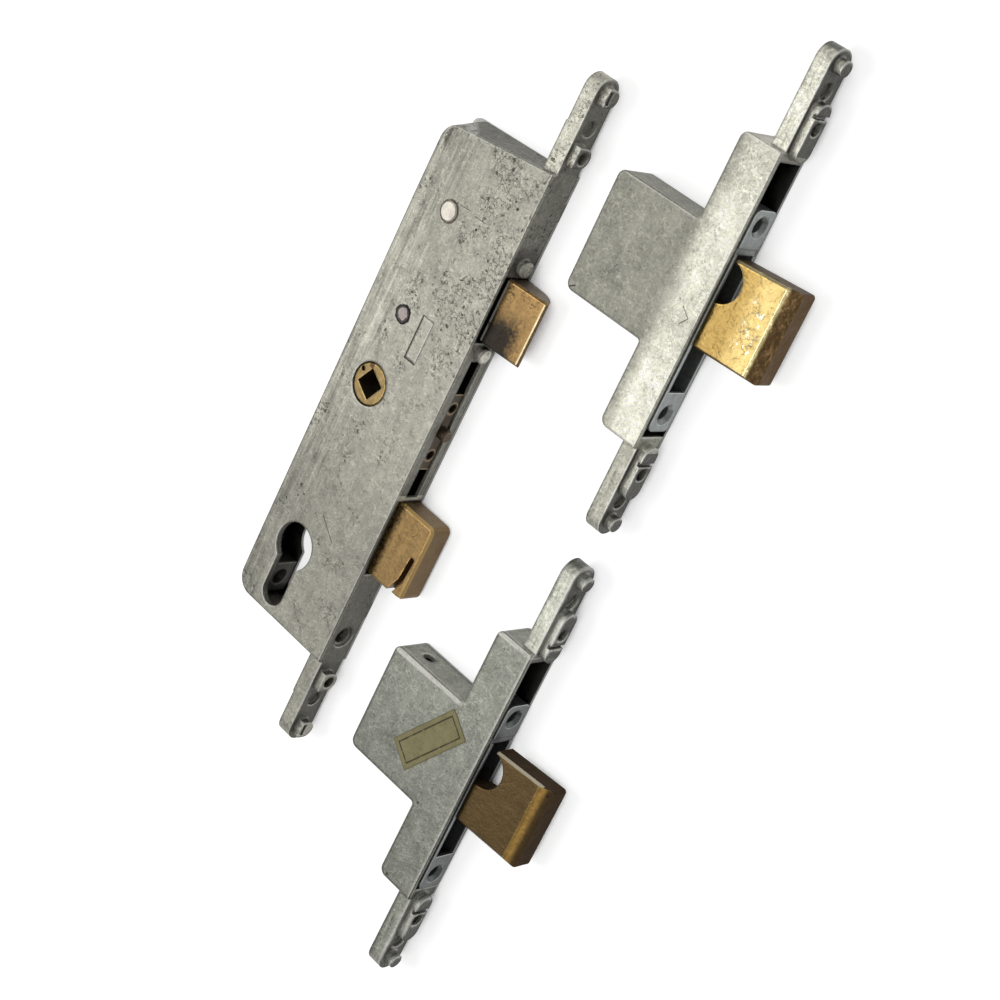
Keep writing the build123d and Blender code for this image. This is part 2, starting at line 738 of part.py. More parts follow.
def make_hook_tray(groove_high, hook_drop, wall_hole):
    """Cast tray of a hook case with its tongues, bosses and guides."""
    with BuildPart() as tray:
        extrude(hook_outline(Plane.XY.offset(cover_sheet)), amount=case_depth - cover_sheet)
        chamfer(tray.faces().sort_by(Axis.Z)[-1].edges(), edge_break)
        extrude(cavity_outline(Plane.XY.offset(cover_sheet)),
                amount=hook_inner_top - cover_sheet, mode=Mode.SUBTRACT)
        for base, way, length, hole, groove, dimple, nub in (
                (strip_length, 1, hook_tongue_high, hole_high, groove_high, dimple_high, nub_high),
                (0, -1, hook_tongue_low, hole_low, groove_low, dimple_low, nub_low)):
            extrude(tongue_shape(front_plane(0), base, length, way), amount=-tongue_thickness)
            extrude(oblong_boss(base, way), amount=boss_height)
            extrude(round_spots(front_plane(0), [(base + way * nub, mid_height)], round_nub_radius),
                    amount=boss_height)
            with BuildSketch(front_plane(boss_height)):
                with Locations((base + way * groove, mid_height)):
                    Rectangle(oblong_groove, 2 * oblong_radius + eps)
            extrude(amount=-oblong_groove_depth, mode=Mode.SUBTRACT)
            extrude(round_spots(front_plane(boss_height), [(base + way * hole, mid_height)], boss_bore),
                    amount=-boss_bore_depth, mode=Mode.SUBTRACT)
            extrude(round_spots(front_plane(0), [(base + way * dimple, mid_height)], dimple_radius),
                    amount=-dimple_depth, mode=Mode.SUBTRACT)
        # Lugs for the cover and the ribs that guide the hook bolt's tail
        floor = Plane.XY.offset(cover_sheet)
        height = hook_inner_top - cover_sheet + eps
        extrude(lug_shapes(hook_lugs), amount=2 * cover_sheet)
        with BuildSketch(floor):
            low = hook_low - hook_drop - hook_slack - guide_rib
            with Locations(((guide_rib_back + guide_rib_front) / 2, low + guide_rib / 2)):
                Rectangle(guide_rib_front - guide_rib_back, guide_rib)
            high = hook_tail_high - hook_drop + hook_slack
            with Locations(((guide_rib_back + top_rib_front) / 2, high + guide_rib / 2)):
                Rectangle(top_rib_front - guide_rib_back, guide_rib)
        extrude(amount=height)
        if wall_hole:
            face = Plane(origin=(wall_hole_x, box_high, mid_height), x_dir=(1, 0, 0), z_dir=(0, 1, 0))
            extrude(round_spots(face, [(0, 0)], wall_hole_radius),
                    amount=-hook_wall - eps, mode=Mode.SUBTRACT)
    return tray.part


def make_hook_cover():
    """Sheet cover on the back of a hook case."""
    with BuildPart() as cover:
        extrude(hook_outline(Plane.XY), amount=cover_sheet)
        extrude(lug_shapes(hook_lugs, rivet_gap), amount=cover_sheet, mode=Mode.SUBTRACT)
    return cover.part


def make_carriage():
    """Carriage: two tapped end blocks joined by side rails, with a window for the hook bolt."""
    face = front_plane(carriage_proud)
    length = carriage_high - carriage_low
    middle = (carriage_high + carriage_low) / 2
    height = rail_high - rail_low
    rail_middle = (rail_high + rail_low) / 2
    with BuildPart() as carriage:
        with BuildSketch(face) as plate:
            with Locations((middle, rail_middle)):
                Rectangle(length, height)
            fillet(plate.vertices(), carriage_corner)
        extrude(amount=-carriage_depth)
        with BuildSketch(front_plane(carriage_proud - carriage_web)):
            with Locations((middle, rail_middle)):
                Rectangle(length - 2 * end_block, height - 2 * carriage_sheet)
        extrude(amount=-carriage_depth, mode=Mode.SUBTRACT)
        with BuildSketch(front_plane(carriage_proud - carriage_web - thread_length)):
            with Locations((middle, rail_middle)):
                Rectangle(length + 2 * eps, height - 2 * carriage_sheet)
        extrude(amount=-carriage_depth, mode=Mode.SUBTRACT)
        with BuildSketch(face):
            with Locations(((window_low + window_high) / 2, rail_middle)):
                Rectangle(window_high - window_low, height - 2 * carriage_sheet)
        extrude(amount=-carriage_web - eps, mode=Mode.SUBTRACT)
        with BuildSketch(face):
            with Locations((window_high + lip_reach / 2, rail_middle)):
                Rectangle(lip_reach, height)
        extrude(amount=-lip_step, mode=Mode.SUBTRACT)
        anchors = [(anchor_low, rail_middle), (anchor_high, rail_middle)]
        extrude(round_spots(face, anchors, anchor_bore), amount=-carriage_depth, mode=Mode.SUBTRACT)
        extrude(round_spots(face, anchors, anchor_sink), amount=-anchor_dish, taper=anchor_taper,
                mode=Mode.SUBTRACT)
        extrude(round_spots(Plane.XY.offset(rail_low), [(drive_pin_x, drive_pin_y)],
                            drive_pin_radius + rivet_gap),
                amount=carriage_sheet, mode=Mode.SUBTRACT)
    return carriage.part


def make_drive_pin():
    """Pin pressed in the far rail, which runs in the cam groove of the hook bolt."""
    with BuildPart() as pin:
        extrude(round_spots(Plane.XY.offset(rail_low), [(drive_pin_x, drive_pin_y)],
                            drive_pin_radius), amount=carriage_sheet + drive_pin_length)
    return pin.part


def make_hook_bolt(pin_start):
    """Sliding hook: a beak turned back to the door edge, a tail, and the cam groove."""
    beak_y = throat_y + sqrt(throat_radius ** 2 - (beak_x - throat_x) ** 2)
    with BuildPart() as hook:
        with BuildSketch(Plane.XY.offset(hook_far)) as outline:
            with BuildLine():
                Polyline((beak_x, beak_y), (beak_x, hook_high - hook_top_fall), (hook_reach, hook_high),
                         (hook_reach, hook_low + hook_low_rise), (0, hook_low), (-hook_tail, hook_low),
                         (-hook_tail, hook_tail_high),
                         (throat_x - throat_ramp, hook_tail_high), (throat_x, throat_y - throat_radius))
                ThreePointArc((throat_x, throat_y - throat_radius), (throat_x + throat_radius, throat_y),
                              (beak_x, beak_y))
            make_face()
            nose = outline.vertices().group_by(Axis.X)[-1]
            fillet(nose, hook_corner_round)
        extrude(amount=hook_near - hook_far)
        near_face = hook.faces().sort_by(Axis.Z)[-1]
        long_edges = near_face.edges().filter_by(lambda e: e.length > hook_reach / 2)
        chamfer(long_edges.sort_by(Axis.Y)[-1], hook_edge)
        with BuildSketch(Plane.XZ.offset(-hook_high - eps)):
            with BuildLine():
                Polyline((hook_reach + eps, hook_near + eps), (hook_reach - hook_nose_bevel, hook_near + eps),
                         (hook_reach + eps, hook_near - hook_nose_bevel_depth),
                         (hook_reach + eps, hook_near + eps))
            make_face()
        extrude(amount=hook_high - hook_low + 2 * eps, mode=Mode.SUBTRACT)
        x, y = pin_start
        pin_end = (x + stroke_ratio * drive_travel, y + drive_travel)
        groove = link_shape(Plane.XY.offset(hook_far), [pin_start, pin_end],
                            [drive_pin_radius + cam_gap, drive_pin_radius + cam_gap])
        extrude(groove, amount=cam_depth, mode=Mode.SUBTRACT)
    return hook.part


# The two hook cases. The carriage of the lower one is all the way down, with the hook bolt that it drew
# down, and that of the upper one a little short of it
cover = make_hook_cover()
carriage = make_carriage()
drive_pin = make_drive_pin()
settings = {
    "upper": (upper_place, upper_turn, groove_high_upper, 0.0, 0.0),
    "lower": (lower_place, lower_turn, groove_high_lower, stroke_left, lower_hook_lead),
}
for name, (spot, turn, groove_high, drop, lead) in settings.items():
    place = Location((spot[0], spot[1], 0), (0, 0, turn))
    save(make_hook_tray(groove_high, drop, name == "lower"), f"{name}_case", place)
    save(cover, f"{name}_cover", place)
    save(carriage, f"{name}_carriage", place * Location((0, -drop, 0)))
    save(drive_pin, f"{name}_drive_pin", place * Location((0, -drop, 0)))
    left = stroke_left - drop
    pin_start = (drive_pin_x - lead - stroke_ratio * left, drive_pin_y - left)
    save(make_hook_bolt(pin_start), f"{name}_hook_bolt", place * Location((lead, -drop, 0)))
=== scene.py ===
"""Looks of a multipoint door lock set that lies flat on a pale table: a gearbox case and two
hook bolt cases. Everything is in metres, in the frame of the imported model."""
import json
from math import cos, radians, sin

import bmesh
import bpy
import numpy as np
from bpy.props import FloatProperty, FloatVectorProperty, PointerProperty
from mathutils import Matrix, Vector


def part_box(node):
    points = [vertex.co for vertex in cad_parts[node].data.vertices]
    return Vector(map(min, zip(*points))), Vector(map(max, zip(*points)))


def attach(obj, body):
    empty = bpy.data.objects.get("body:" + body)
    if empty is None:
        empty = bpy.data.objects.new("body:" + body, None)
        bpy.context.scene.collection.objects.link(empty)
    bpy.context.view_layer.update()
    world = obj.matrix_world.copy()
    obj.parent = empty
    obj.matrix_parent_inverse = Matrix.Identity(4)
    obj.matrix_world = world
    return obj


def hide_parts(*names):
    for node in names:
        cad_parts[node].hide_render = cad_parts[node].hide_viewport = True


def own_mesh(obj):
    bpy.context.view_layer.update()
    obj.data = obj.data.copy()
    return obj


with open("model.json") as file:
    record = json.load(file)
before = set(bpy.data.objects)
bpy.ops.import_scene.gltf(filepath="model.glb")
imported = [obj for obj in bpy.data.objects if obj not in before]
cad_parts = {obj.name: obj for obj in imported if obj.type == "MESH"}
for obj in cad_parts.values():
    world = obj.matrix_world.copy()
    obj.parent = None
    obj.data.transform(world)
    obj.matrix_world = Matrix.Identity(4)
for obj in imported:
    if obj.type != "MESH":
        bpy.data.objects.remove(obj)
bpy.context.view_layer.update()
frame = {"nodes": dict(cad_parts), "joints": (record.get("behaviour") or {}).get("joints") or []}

bl_info = {
    "name": "Lock set looks",
    "version": (1, 0, 0),
    "blender": (4, 5, 0),
    "location": "3D View > Sidebar > Lock set",
    "description": "Finishes, paper label, stage, lamps and camera of a multipoint lock set",
    "category": "Object",
}

# Places of the hook cases in the frame: foot of the front edge, and turn on the table
UPPER_FOOT = (0.1054, 0.04185)
UPPER_TURN = radians(1.15)
LOWER_FOOT = (0.10935, -0.1403)
LOWER_TURN = radians(0.85)
CASE_DEPTH = 0.014

# Places in the frame: the round heads in the gearbox's plate and the tapped holes of its drive slide
RIVET = (0.0, 0.0677)
LEVER_POST = (0.00045, 0.0283)
SLIDE_HOLES = ((0.0313, 0.00965, 0.007), (0.0313, -0.00915, 0.007))

# Marks on the cases: a spot is x, y and radius, and a stroke is start, end and width. The hook cases'
# marks are in their own axes.
MAIN_SPOTS = ((-0.00794, -0.05142, 0.00035), (-0.00568, -0.04948, 0.00035), (0.0133, 0.0681, 0.0005),
              (0.02495, 0.0823, 0.0006), (0.0231, 0.084, 0.0004), (0.0195, 0.0905, 0.0004))
MAIN_SCRATCHES = (((0.0029, 0.0717), (0.008, 0.0723), 0.0002), ((0.0105, 0.0716), (0.016, 0.0718), 0.0002),
                  ((0.017, 0.0515), (0.0182, 0.0535), 0.0003), ((0.0162, 0.0508), (0.0174, 0.0512), 0.0004),
                  ((0.006, -0.0505), (0.0145, -0.0565), 0.0003))
# Painted shade of a shallow dent near the rubbed corner
MAIN_DENT_SHADE = ((-0.0137, 0.0905), (-0.0136, 0.0858), 0.0016)
MAIN_RUBBED_CORNER = (((-0.0153, 0.085), (-0.0147, 0.0915), 0.0011),
                      ((-0.0147, 0.0915), (-0.0112, 0.0948), 0.0011),
                      ((-0.0112, 0.0948), (-0.004, 0.0942), 0.0011))
# Painted shade in the gap along the left and lower sides of the tenon
TENON_GAP_SHADE = (((0.0088, 0.0163), (0.0088, 0.0326), 0.0006), ((0.0088, 0.0163), (0.0139, 0.0163), 0.0006))
UPPER_SCRATCHES = (((-0.0483, 0.0312), (-0.0465, 0.0324), 0.0005),
                   ((-0.0071, 0.0472), (-0.0035, 0.0447), 0.0003),
                   ((-0.0035, 0.0447), (-0.0056, 0.0419), 0.0003))
LOWER_DOTS = ((-0.01406, 0.03152, 0.0005), (-0.01243, 0.0016, 0.0005))
LOWER_RUST = ((-0.0075, -0.008, 0.0008),)
# Painted highlights along the upper edges of the lower case's box and strip
LOWER_EDGE_HIGHLIGHTS = (((-0.0485, 0.0712), (-0.0165, 0.0717), 0.0015),
                    ((-0.0150, 0.1016), (-0.0005, 0.1018), 0.0010))
LOWER_STAINS = ((-0.0318, 0.0528, 0.0028), (-0.0345, 0.0580, 0.0018), (-0.0330, 0.0400, 0.0022))

# Edges that are rubbed bare, with a painted highlight where they turn to the light and painted shade where
# they turn from it: radius of the worn round, and gain
FINE_EDGE = (0.0011, 4.0)
WIDE_EDGE = (0.0018, 8.0)
# Dark film on the steel, also used as its painted shade in corners and on edges
STEEL_FILM_AND_SHADE = (0.02, 0.018, 0.016)
# Black painted shade on the inner side of the covers
INNER_SHADE_BLACK = (0.004, 0.0037, 0.0034)


def linear(red, green, blue):
    """Linear colour for a colour as it is seen, each part from 0 to 255."""
    seen = np.array([red, green, blue]) / 255.0
    low = seen / 12.92
    high = ((seen + 0.055) / 1.055) ** 2.4
    return tuple(float(part) for part in np.where(seen <= 0.04045, low, high))


def length(name, text, default):
    return FloatProperty(name=name, description=text, default=default, unit="LENGTH", precision=5)


def share(name, text, default):
    return FloatProperty(name=name, description=text, default=default, min=0.0, max=1.0, subtype="FACTOR")


def colour(name, text, *seen):
    return FloatVectorProperty(name=name, description=text, default=linear(*seen), size=3, min=0.0,
                               max=1.0, subtype="COLOR")


class LockZincSettings(bpy.types.PropertyGroup):
    """Colours, wear and painted shade of the die-cast cases."""
    main_tone: colour("Gearbox case", "Zinc of the gearbox case", 186, 184, 170)
    upper_tone: colour("Upper hook case", "Zinc of the upper hook case", 162, 161, 148)
    lower_tone: colour("Lower hook case", "Zinc of the lower hook case", 163, 164, 152)
    pit_tone: colour("Pits", "Olive grey of the pits and scratches", 74, 72, 60)
    # Grime, also used as painted shade in corners and hollows, on edges that turn from the light and in the
    # gap round the tenon
    grime_and_shade_tone: colour("Grime", "Dirt that lies in pits and corners", 40, 36, 30)
    # Black painted shade on the insides of the cases, seen through their openings
    inside_shade_tone: colour("Inside", "Oily black of the insides", 13, 12, 11)
    # Bare zinc on rubbed edges, also used as painted highlight on edges that turn to the light and along the
    # lower case's upper edges
    bare_and_highlight_tone: colour("Bare edge", "Zinc where edges are rubbed bare", 226, 225, 216)
    # Painted shade: the front walls are darkened to this share of their brightness
    painted_front_level: share("Front walls", "Brightness of the front walls beside the plates", 0.42)
    grain_size: length("Grain size", "Width of the casting grain", 0.0010)
    worm_size: length("Worm size", "Distance between the pale flow lines", 0.0042)
    pit_size: length("Pit spacing", "Distance between casting pits", 0.0034)
    mottle_size: length("Mottle size", "Width of the cloudy patches", 0.0065)


class LockBrassSettings(bpy.types.PropertyGroup):
    """Colours of the brass and bronze pieces."""
    latch_tone: colour("Latch bolt", "Dull brass of the latch bolt", 160, 128, 78)
    deadbolt_tone: colour("Deadbolt", "Dull brass of the deadbolt", 142, 114, 68)
    upper_hook_tone: colour("Upper hook bolt", "Shiny brass of the upper hook bolt", 152, 124, 62)
    lower_hook_tone: colour("Lower hook bolt", "Brown brass of the lower hook bolt", 88, 68, 31)
    follower_tone: colour("Follower", "Tarnished brass of the follower", 150, 127, 80)
    slide_tone: colour("Drive slide", "Brown film on the drive slide", 78, 66, 52)
    stain_tone: colour("Stain", "Dark stains on the brass", 34, 27, 19)


class LockSteelSettings(bpy.types.PropertyGroup):
    """Colours of the steel pieces."""
    plate_tone: colour("Carriage", "Oily plated steel of the carriages", 136, 140, 138)
    rivet_tone: colour("Rivets", "Bare rivet heads", 214, 207, 194)
    post_tone: colour("Post", "Spread end of the lever post", 158, 146, 142)
    oiled_tone: colour("Oiled steel", "Dark inner levers", 46, 43, 40)
    cover_tone: colour("Rear covers", "Plated sheet of the covers", 150, 150, 146)


class LockLabelSettings(bpy.types.PropertyGroup):
    """Sizes and colours of the paper label on the lower hook case."""
    width: length("Width", "Long side of the label", 0.0302)
    height: length("Height", "Short side of the label", 0.0118)
    margin: length("Margin", "Distance of the printed border from the edge", 0.0020)
    line: length("Border line", "Width of the printed border", 0.00055)
    paper_tone: colour("Paper", "Yellowed paper", 150, 143, 103)
    ink_tone: colour("Ink", "Ink of the border", 62, 56, 34)


class LockSpringSettings(bpy.types.PropertyGroup):
    """Wire and turns of the latch spring."""
    wire: length("Wire", "Thickness of the spring's wire", 0.0008)
    turns: FloatProperty(name="Turns", description="Turns from end to end", default=9.0)


class LockStageSettings(bpy.types.PropertyGroup):
    """Floor, lamps and camera."""
    aim: FloatVectorProperty(name="Aim", description="Point that the camera looks at",
                             default=(0.06488, -0.00492, 0.007), size=3, subtype="XYZ_LENGTH")
    distance: length("Distance", "From the aim to the camera", 0.72107)
    azimuth: FloatProperty(name="Azimuth", description="Direction of the camera from the aim",
                           default=radians(36.3027), subtype="ANGLE")
    elevation: FloatProperty(name="Elevation", description="Height of the camera over the table",
                             default=radians(51.2070), subtype="ANGLE")
    roll: FloatProperty(name="Roll", description="Turn of the camera about its view",
                        default=radians(-93.0931), subtype="ANGLE")
    lens: FloatProperty(name="Lens", description="Focal length on a 36 mm sensor", default=77.973)
    floor_size: length("Floor", "Side of the floor", 6.0)
    key_power: FloatProperty(name="Key lamp", description="Power of the large lamp in watts", default=8.4)
    fill_power: FloatProperty(name="Fill lamp", description="Power of the low lamp in watts", default=0.25)
    sky: share("Sky", "Strength of the even light from all round", 0.34)
    wall_power: FloatProperty(name="Wall lamp", default=1.6,
                              description="Power in watts of the lamp that lights the upper walls")


class Field:
    """A number, colour or vector that varies over a surface: one output socket of a node tree."""

    def __init__(self, finish, socket):
        self.finish = finish
        self.socket = socket

    def _math(self, operation, *values):
        return self.finish.node("ShaderNodeMath", {"operation": operation}, *values)

    def __add__(self, other):
        return self._math("ADD", self, other)

    __radd__ = __add__

    def __sub__(self, other):
        return self._math("SUBTRACT", self, other)

    def __rsub__(self, other):
        return self._math("SUBTRACT", other, self)

    def __mul__(self, other):
        return self._math("MULTIPLY", self, other)

    __rmul__ = __mul__

    def __truediv__(self, other):
        return self._math("DIVIDE", self, other)

    def __abs__(self):
        return self._math("ABSOLUTE", self)

    def at_most(self, other):
        return self._math("MINIMUM", self, other)

    def at_least(self, other):
        return self._math("MAXIMUM", self, other)

    def ramp(self, low, high):
        """0 below low, 1 above high, and a smooth step between them."""
        return self.finish.node("ShaderNodeMapRange", {"interpolation_type": "SMOOTHSTEP"},
                                Value=self, From_Min=low, From_Max=high)


class Finish:
    """A material under way, with one principled shader."""

    def __init__(self, name, foot=(0.0, 0.0), turn=0.0):
        self.material = bpy.data.materials.new(name)
        self.material.use_nodes = True
        self.tree = self.material.node_tree
        self.tree.nodes.clear()
        self.shader = self.tree.nodes.new("ShaderNodeBsdfPrincipled")
        output = self.tree.nodes.new("ShaderNodeOutputMaterial")
        self.tree.links.new(self.shader.outputs[0], output.inputs["Surface"])
        frame_place = self.node("ShaderNodeTexCoord", out="Object")
        self.place = self.node("ShaderNodeMapping", {"vector_type": "TEXTURE"}, Vector=frame_place,
                               Location=(*foot, 0.0), Rotation=(0.0, 0.0, turn))
        self.flat = self.node("ShaderNodeVectorMath", {"operation": "MULTIPLY"}, self.place, (1.0, 1.0, 0.0))
        self.x, self.y, self.z = (self.along(axis) for axis in "XYZ")

    def node(self, kind, settings=None, *values, out=0, **named):
        """Add a node: first its settings, then its sockets in order or by name."""
        made = self.tree.nodes.new(kind)
        for key, value in (settings or {}).items():
            setattr(made, key, value)
        for index, value in enumerate(values):
            self.feed(made.inputs[index], value)
        for key, value in named.items():
            self.feed(made.inputs[key.replace("_", " ")], value)
        return Field(self, made.outputs[out])

    def feed(self, socket, value):
        """Link a field to a socket, or set the socket's own value."""
        if isinstance(value, Field):
            self.tree.links.new(value.socket, socket)
        elif socket.type == "RGBA" and len(value) == 3:
            socket.default_value = (*value, 1.0)
        else:
            socket.default_value = value

    def set(self, **named):
        """Set or link sockets of the shader itself."""
        for key, value in named.items():
            self.feed(self.shader.inputs[key.replace("_", " ")], value)

    def blend(self, under, over, factor):
        """Colour that goes from one to the other as the factor goes from 0 to 1."""
        mixed = self.tree.nodes.new("ShaderNodeMix")
        mixed.data_type = "RGBA"
        self.feed(mixed.inputs[0], factor)
        self.feed(mixed.inputs[6], under)
        self.feed(mixed.inputs[7], over)
        return Field(self, mixed.outputs[2])

    def scale(self, tone, level):
        """Colour that is made lighter or darker by a varying level, 1 for no change."""
        return self.node("ShaderNodeVectorMath", {"operation": "SCALE"}, Vector=tone, Scale=level)

    def warped(self, size, amount):
        """Place pushed about by soft noise, for shapes with uneven outlines."""
        push = self.scale(self.cloud(size, 2.0, 0.5, out="Color"), amount)
        return self.node("ShaderNodeVectorMath", {"operation": "ADD"}, self.place, push)

    def stretched(self, x=1.0, y=1.0, z=1.0):
        """Place with its axes stretched, for marks that run along an axis."""
        return self.node("ShaderNodeVectorMath", {"operation": "MULTIPLY"}, self.place, (x, y, z))

    def cloud(self, size, detail=3.0, rough=0.55, where=None, out="Fac"):
        """Soft noise with patches about as wide as size, from 0 to 1."""
        return self.node("ShaderNodeTexNoise", None, out=out, Vector=where or self.place, Scale=1.0 / size,
                         Detail=detail, Roughness=rough)

    def worms(self, size, low=0.9, high=0.98):
        """1 on thin winding lines: where soft noise passes through its middle value."""
        return (1.0 - abs(self.cloud(size, 3.0, 0.6) - 0.5) * 2.0).ramp(low, high)

    def within(self, axis_place, low, high, soft):
        """1 between two places on an axis, with soft ends."""
        return axis_place.ramp(low - soft, low + soft) * (1.0 - axis_place.ramp(high - soft, high + soft))

    def box(self, x_span, y_span, z_span):
        """1 inside a box."""
        shares = [self.within(along, *span, 0.0001)
                  for along, span in zip((self.x, self.y, self.z), (x_span, y_span, z_span))]
        return shares[0] * shares[1] * shares[2]

    def distance(self, start, end):
        """How far apart two places are."""
        return self.node("ShaderNodeVectorMath", {"operation": "DISTANCE"}, start, end, out="Value")

    def spot(self, x, y, radius, soft=0.4):
        """1 inside a circle seen from above, with a soft rim given as a share of the radius."""
        away = self.distance(self.flat, (x, y, 0.0))
        return 1.0 - (away / radius).ramp(1.0 - soft, 1.0 + soft)

    def stroke(self, start, end, width, soft=0.5):
        """1 on a straight mark seen from above. The nearest place on it is found by how far along
        the mark a point lies, kept between 0 and 1."""
        run = np.subtract(end, start)
        unit = run / float(run @ run)
        offset = self.node("ShaderNodeVectorMath", {"operation": "SUBTRACT"}, self.flat, (*start, 0.0))
        share_along = self.node("ShaderNodeVectorMath", {"operation": "DOT_PRODUCT"}, offset,
                                (*unit.tolist(), 0.0), out="Value").at_least(0.0).at_most(1.0)
        nearest = self.scale((*run.tolist(), 0.0), share_along)
        away = self.distance(offset, nearest)
        return 1.0 - (away / (width / 2)).ramp(1.0 - soft, 1.0 + soft)

    def uneven_distance(self, x, y, uneven):
        """Distance from a place seen from above, made uneven by noise."""
        return self.distance(self.flat, (x, y, 0.0)) + (self.cloud(0.0016, 2.0, 0.5) - 0.5) * uneven

    def ring(self, x, y, radius, width, uneven):
        """1 on a circle line seen from above, its radius made uneven by noise."""
        off = abs(self.uneven_distance(x, y, uneven) - radius)
        return 1.0 - (off / (width / 2)).ramp(0.6, 1.4)

    def marks(self, spots=(), strokes=()):
        """1 on any of the spots (x, y, radius) and strokes (start, end, width)."""
        shapes = [self.spot(*spot) for spot in spots] + [self.stroke(*stroke) for stroke in strokes]
        joined = shapes[0]
        for shape in shapes[1:]:
            joined = joined.at_least(shape)
        return joined

    def cells(self, size, where):
        """Distance to the nearest of scattered points about size apart, in sizes."""
        return self.node("ShaderNodeTexVoronoi", {"feature": "F1"}, out="Distance", Vector=where,
                         Scale=1.0 / size, Randomness=1.0)

    def facing(self, axis):
        """How far the surface faces along one axis of the object, from -1 to 1."""
        normal = self.node("ShaderNodeTexCoord", out="Normal")
        return self.node("ShaderNodeSeparateXYZ", None, normal, out=axis)

    def upper_face(self):
        """1 on faces that look up."""
        return self.facing("Z").ramp(0.7, 0.9)

    def front_wall(self):
        """1 on walls that look to the front, where the bolts come out."""
        return self.facing("X").ramp(0.6, 0.9)

    def side_walls(self):
        """1 on walls that look along the cases, up or down."""
        return abs(self.facing("Y")).ramp(0.6, 0.9)

    def turned(self):
        """1 on the rounded edges round an upper face, where the surface leans out of it."""
        up = self.facing("Z")
        return up.ramp(0.25, 0.45) * (1.0 - up.ramp(0.9, 0.97))

    def along(self, axis):
        """Coordinate along one axis."""
        return self.node("ShaderNodeSeparateXYZ", None, self.place, out=axis)

    def rims(self, radius, gain):
        """1 on edges that turn to the light, up, right or back, and 1 on edges that turn from it,
        by how far a bevel leans the normal."""
        smooth = self.node("ShaderNodeBevel", {"samples": 6}, Radius=radius)
        true = self.node("ShaderNodeNewGeometry", out="Normal")
        lean = self.node("ShaderNodeVectorMath", {"operation": "SUBTRACT"}, smooth, true)
        turned = self.node("ShaderNodeVectorMath", {"operation": "DOT_PRODUCT"}, lean, (1.0, 1.2, 0.6),
                           out="Value") * gain
        return turned.at_least(0.0).at_most(1.0), (0.0 - turned).at_least(0.0).at_most(1.0)

    def hollows(self, distance):
        """1 in corners and holes and 0 in the open, by how much of the sky is hidden."""
        open_sky = self.node("ShaderNodeAmbientOcclusion", {"samples": 6}, out="AO", Distance=distance)
        return 1.0 - open_sky

    def bump(self, height, distance, strength):
        """Feed a height, in shares of the distance, to the shader's normal."""
        self.set(Normal=self.node("ShaderNodeBump", None, Height=height, Distance=distance,
                                  Strength=strength))


def zinc_skin(finish, tone, zinc, rough_grain, dragged, pitted, torn):
    """Die-cast zinc: cloudy patches, grain, pale flow lines, drag marks, torn pits and curled scratches,
    in shares of the tone. Torn is how strong the pits and scratches are. Gives the colour and the
    height of the surface."""
    wide = finish.cloud(0.024, 3.0, 0.6) - 0.5
    patches = finish.cloud(zinc.mottle_size, 4.0, 0.6) - 0.5
    grain = finish.cloud(zinc.grain_size, 4.0, 0.75) - 0.5
    lumps = finish.cloud(2.6 * zinc.grain_size, 2.0, 0.5) - 0.5
    flow = finish.worms(zinc.worm_size)
    thin = finish.cloud(0.0008, 3.0, 0.6, finish.stretched(1.0, 0.05, 1.0)) - 0.5
    long_marks = finish.cloud(0.0035, 3.0, 0.6, finish.stretched(1.0, 0.09, 1.0)) - 0.5
    drags = (thin * 1.2 + long_marks * 1.1) * dragged
    grain = grain * (1.0 - dragged * 0.35)
    chosen = finish.cloud(0.011, 2.0, 0.5) + pitted * 0.14 - 0.07
    uneven = finish.warped(0.0013, 0.0026)
    flecks = finish.cloud(0.0022, 2.0, 0.6).ramp(0.6, 0.72)
    curls = finish.worms(0.0034, 0.95, 0.99) * chosen.ramp(0.46, 0.66) * torn
    pits = (1.0 - finish.cells(zinc.pit_size, uneven).ramp(0.1, 0.22)) * chosen.ramp(0.42, 0.6) * torn
    pin_holes = (1.0 - finish.cells(0.0019, uneven).ramp(0.12, 0.26)) * chosen.ramp(0.38, 0.6) * torn
    level = (1.0 + wide * 0.45 + patches * 0.75 + drags
             + (grain * 1.3 + lumps * 0.5 + flow * 0.25 + flecks * 0.25) * rough_grain)
    skin = finish.scale(tone, level.at_least(0.25).at_most(1.9))
    torn_places = (pits * 0.9).at_least(pin_holes * 0.6).at_least(curls * 0.35)
    skin = finish.blend(skin, zinc.pit_tone[:], torn_places)
    height = patches * 0.4 + grain * 1.0 + lumps * 0.9 + flow * 0.3 + drags * 0.3
    return skin, height - pits * 1.3 - pin_holes * 0.8 - curls * 0.7


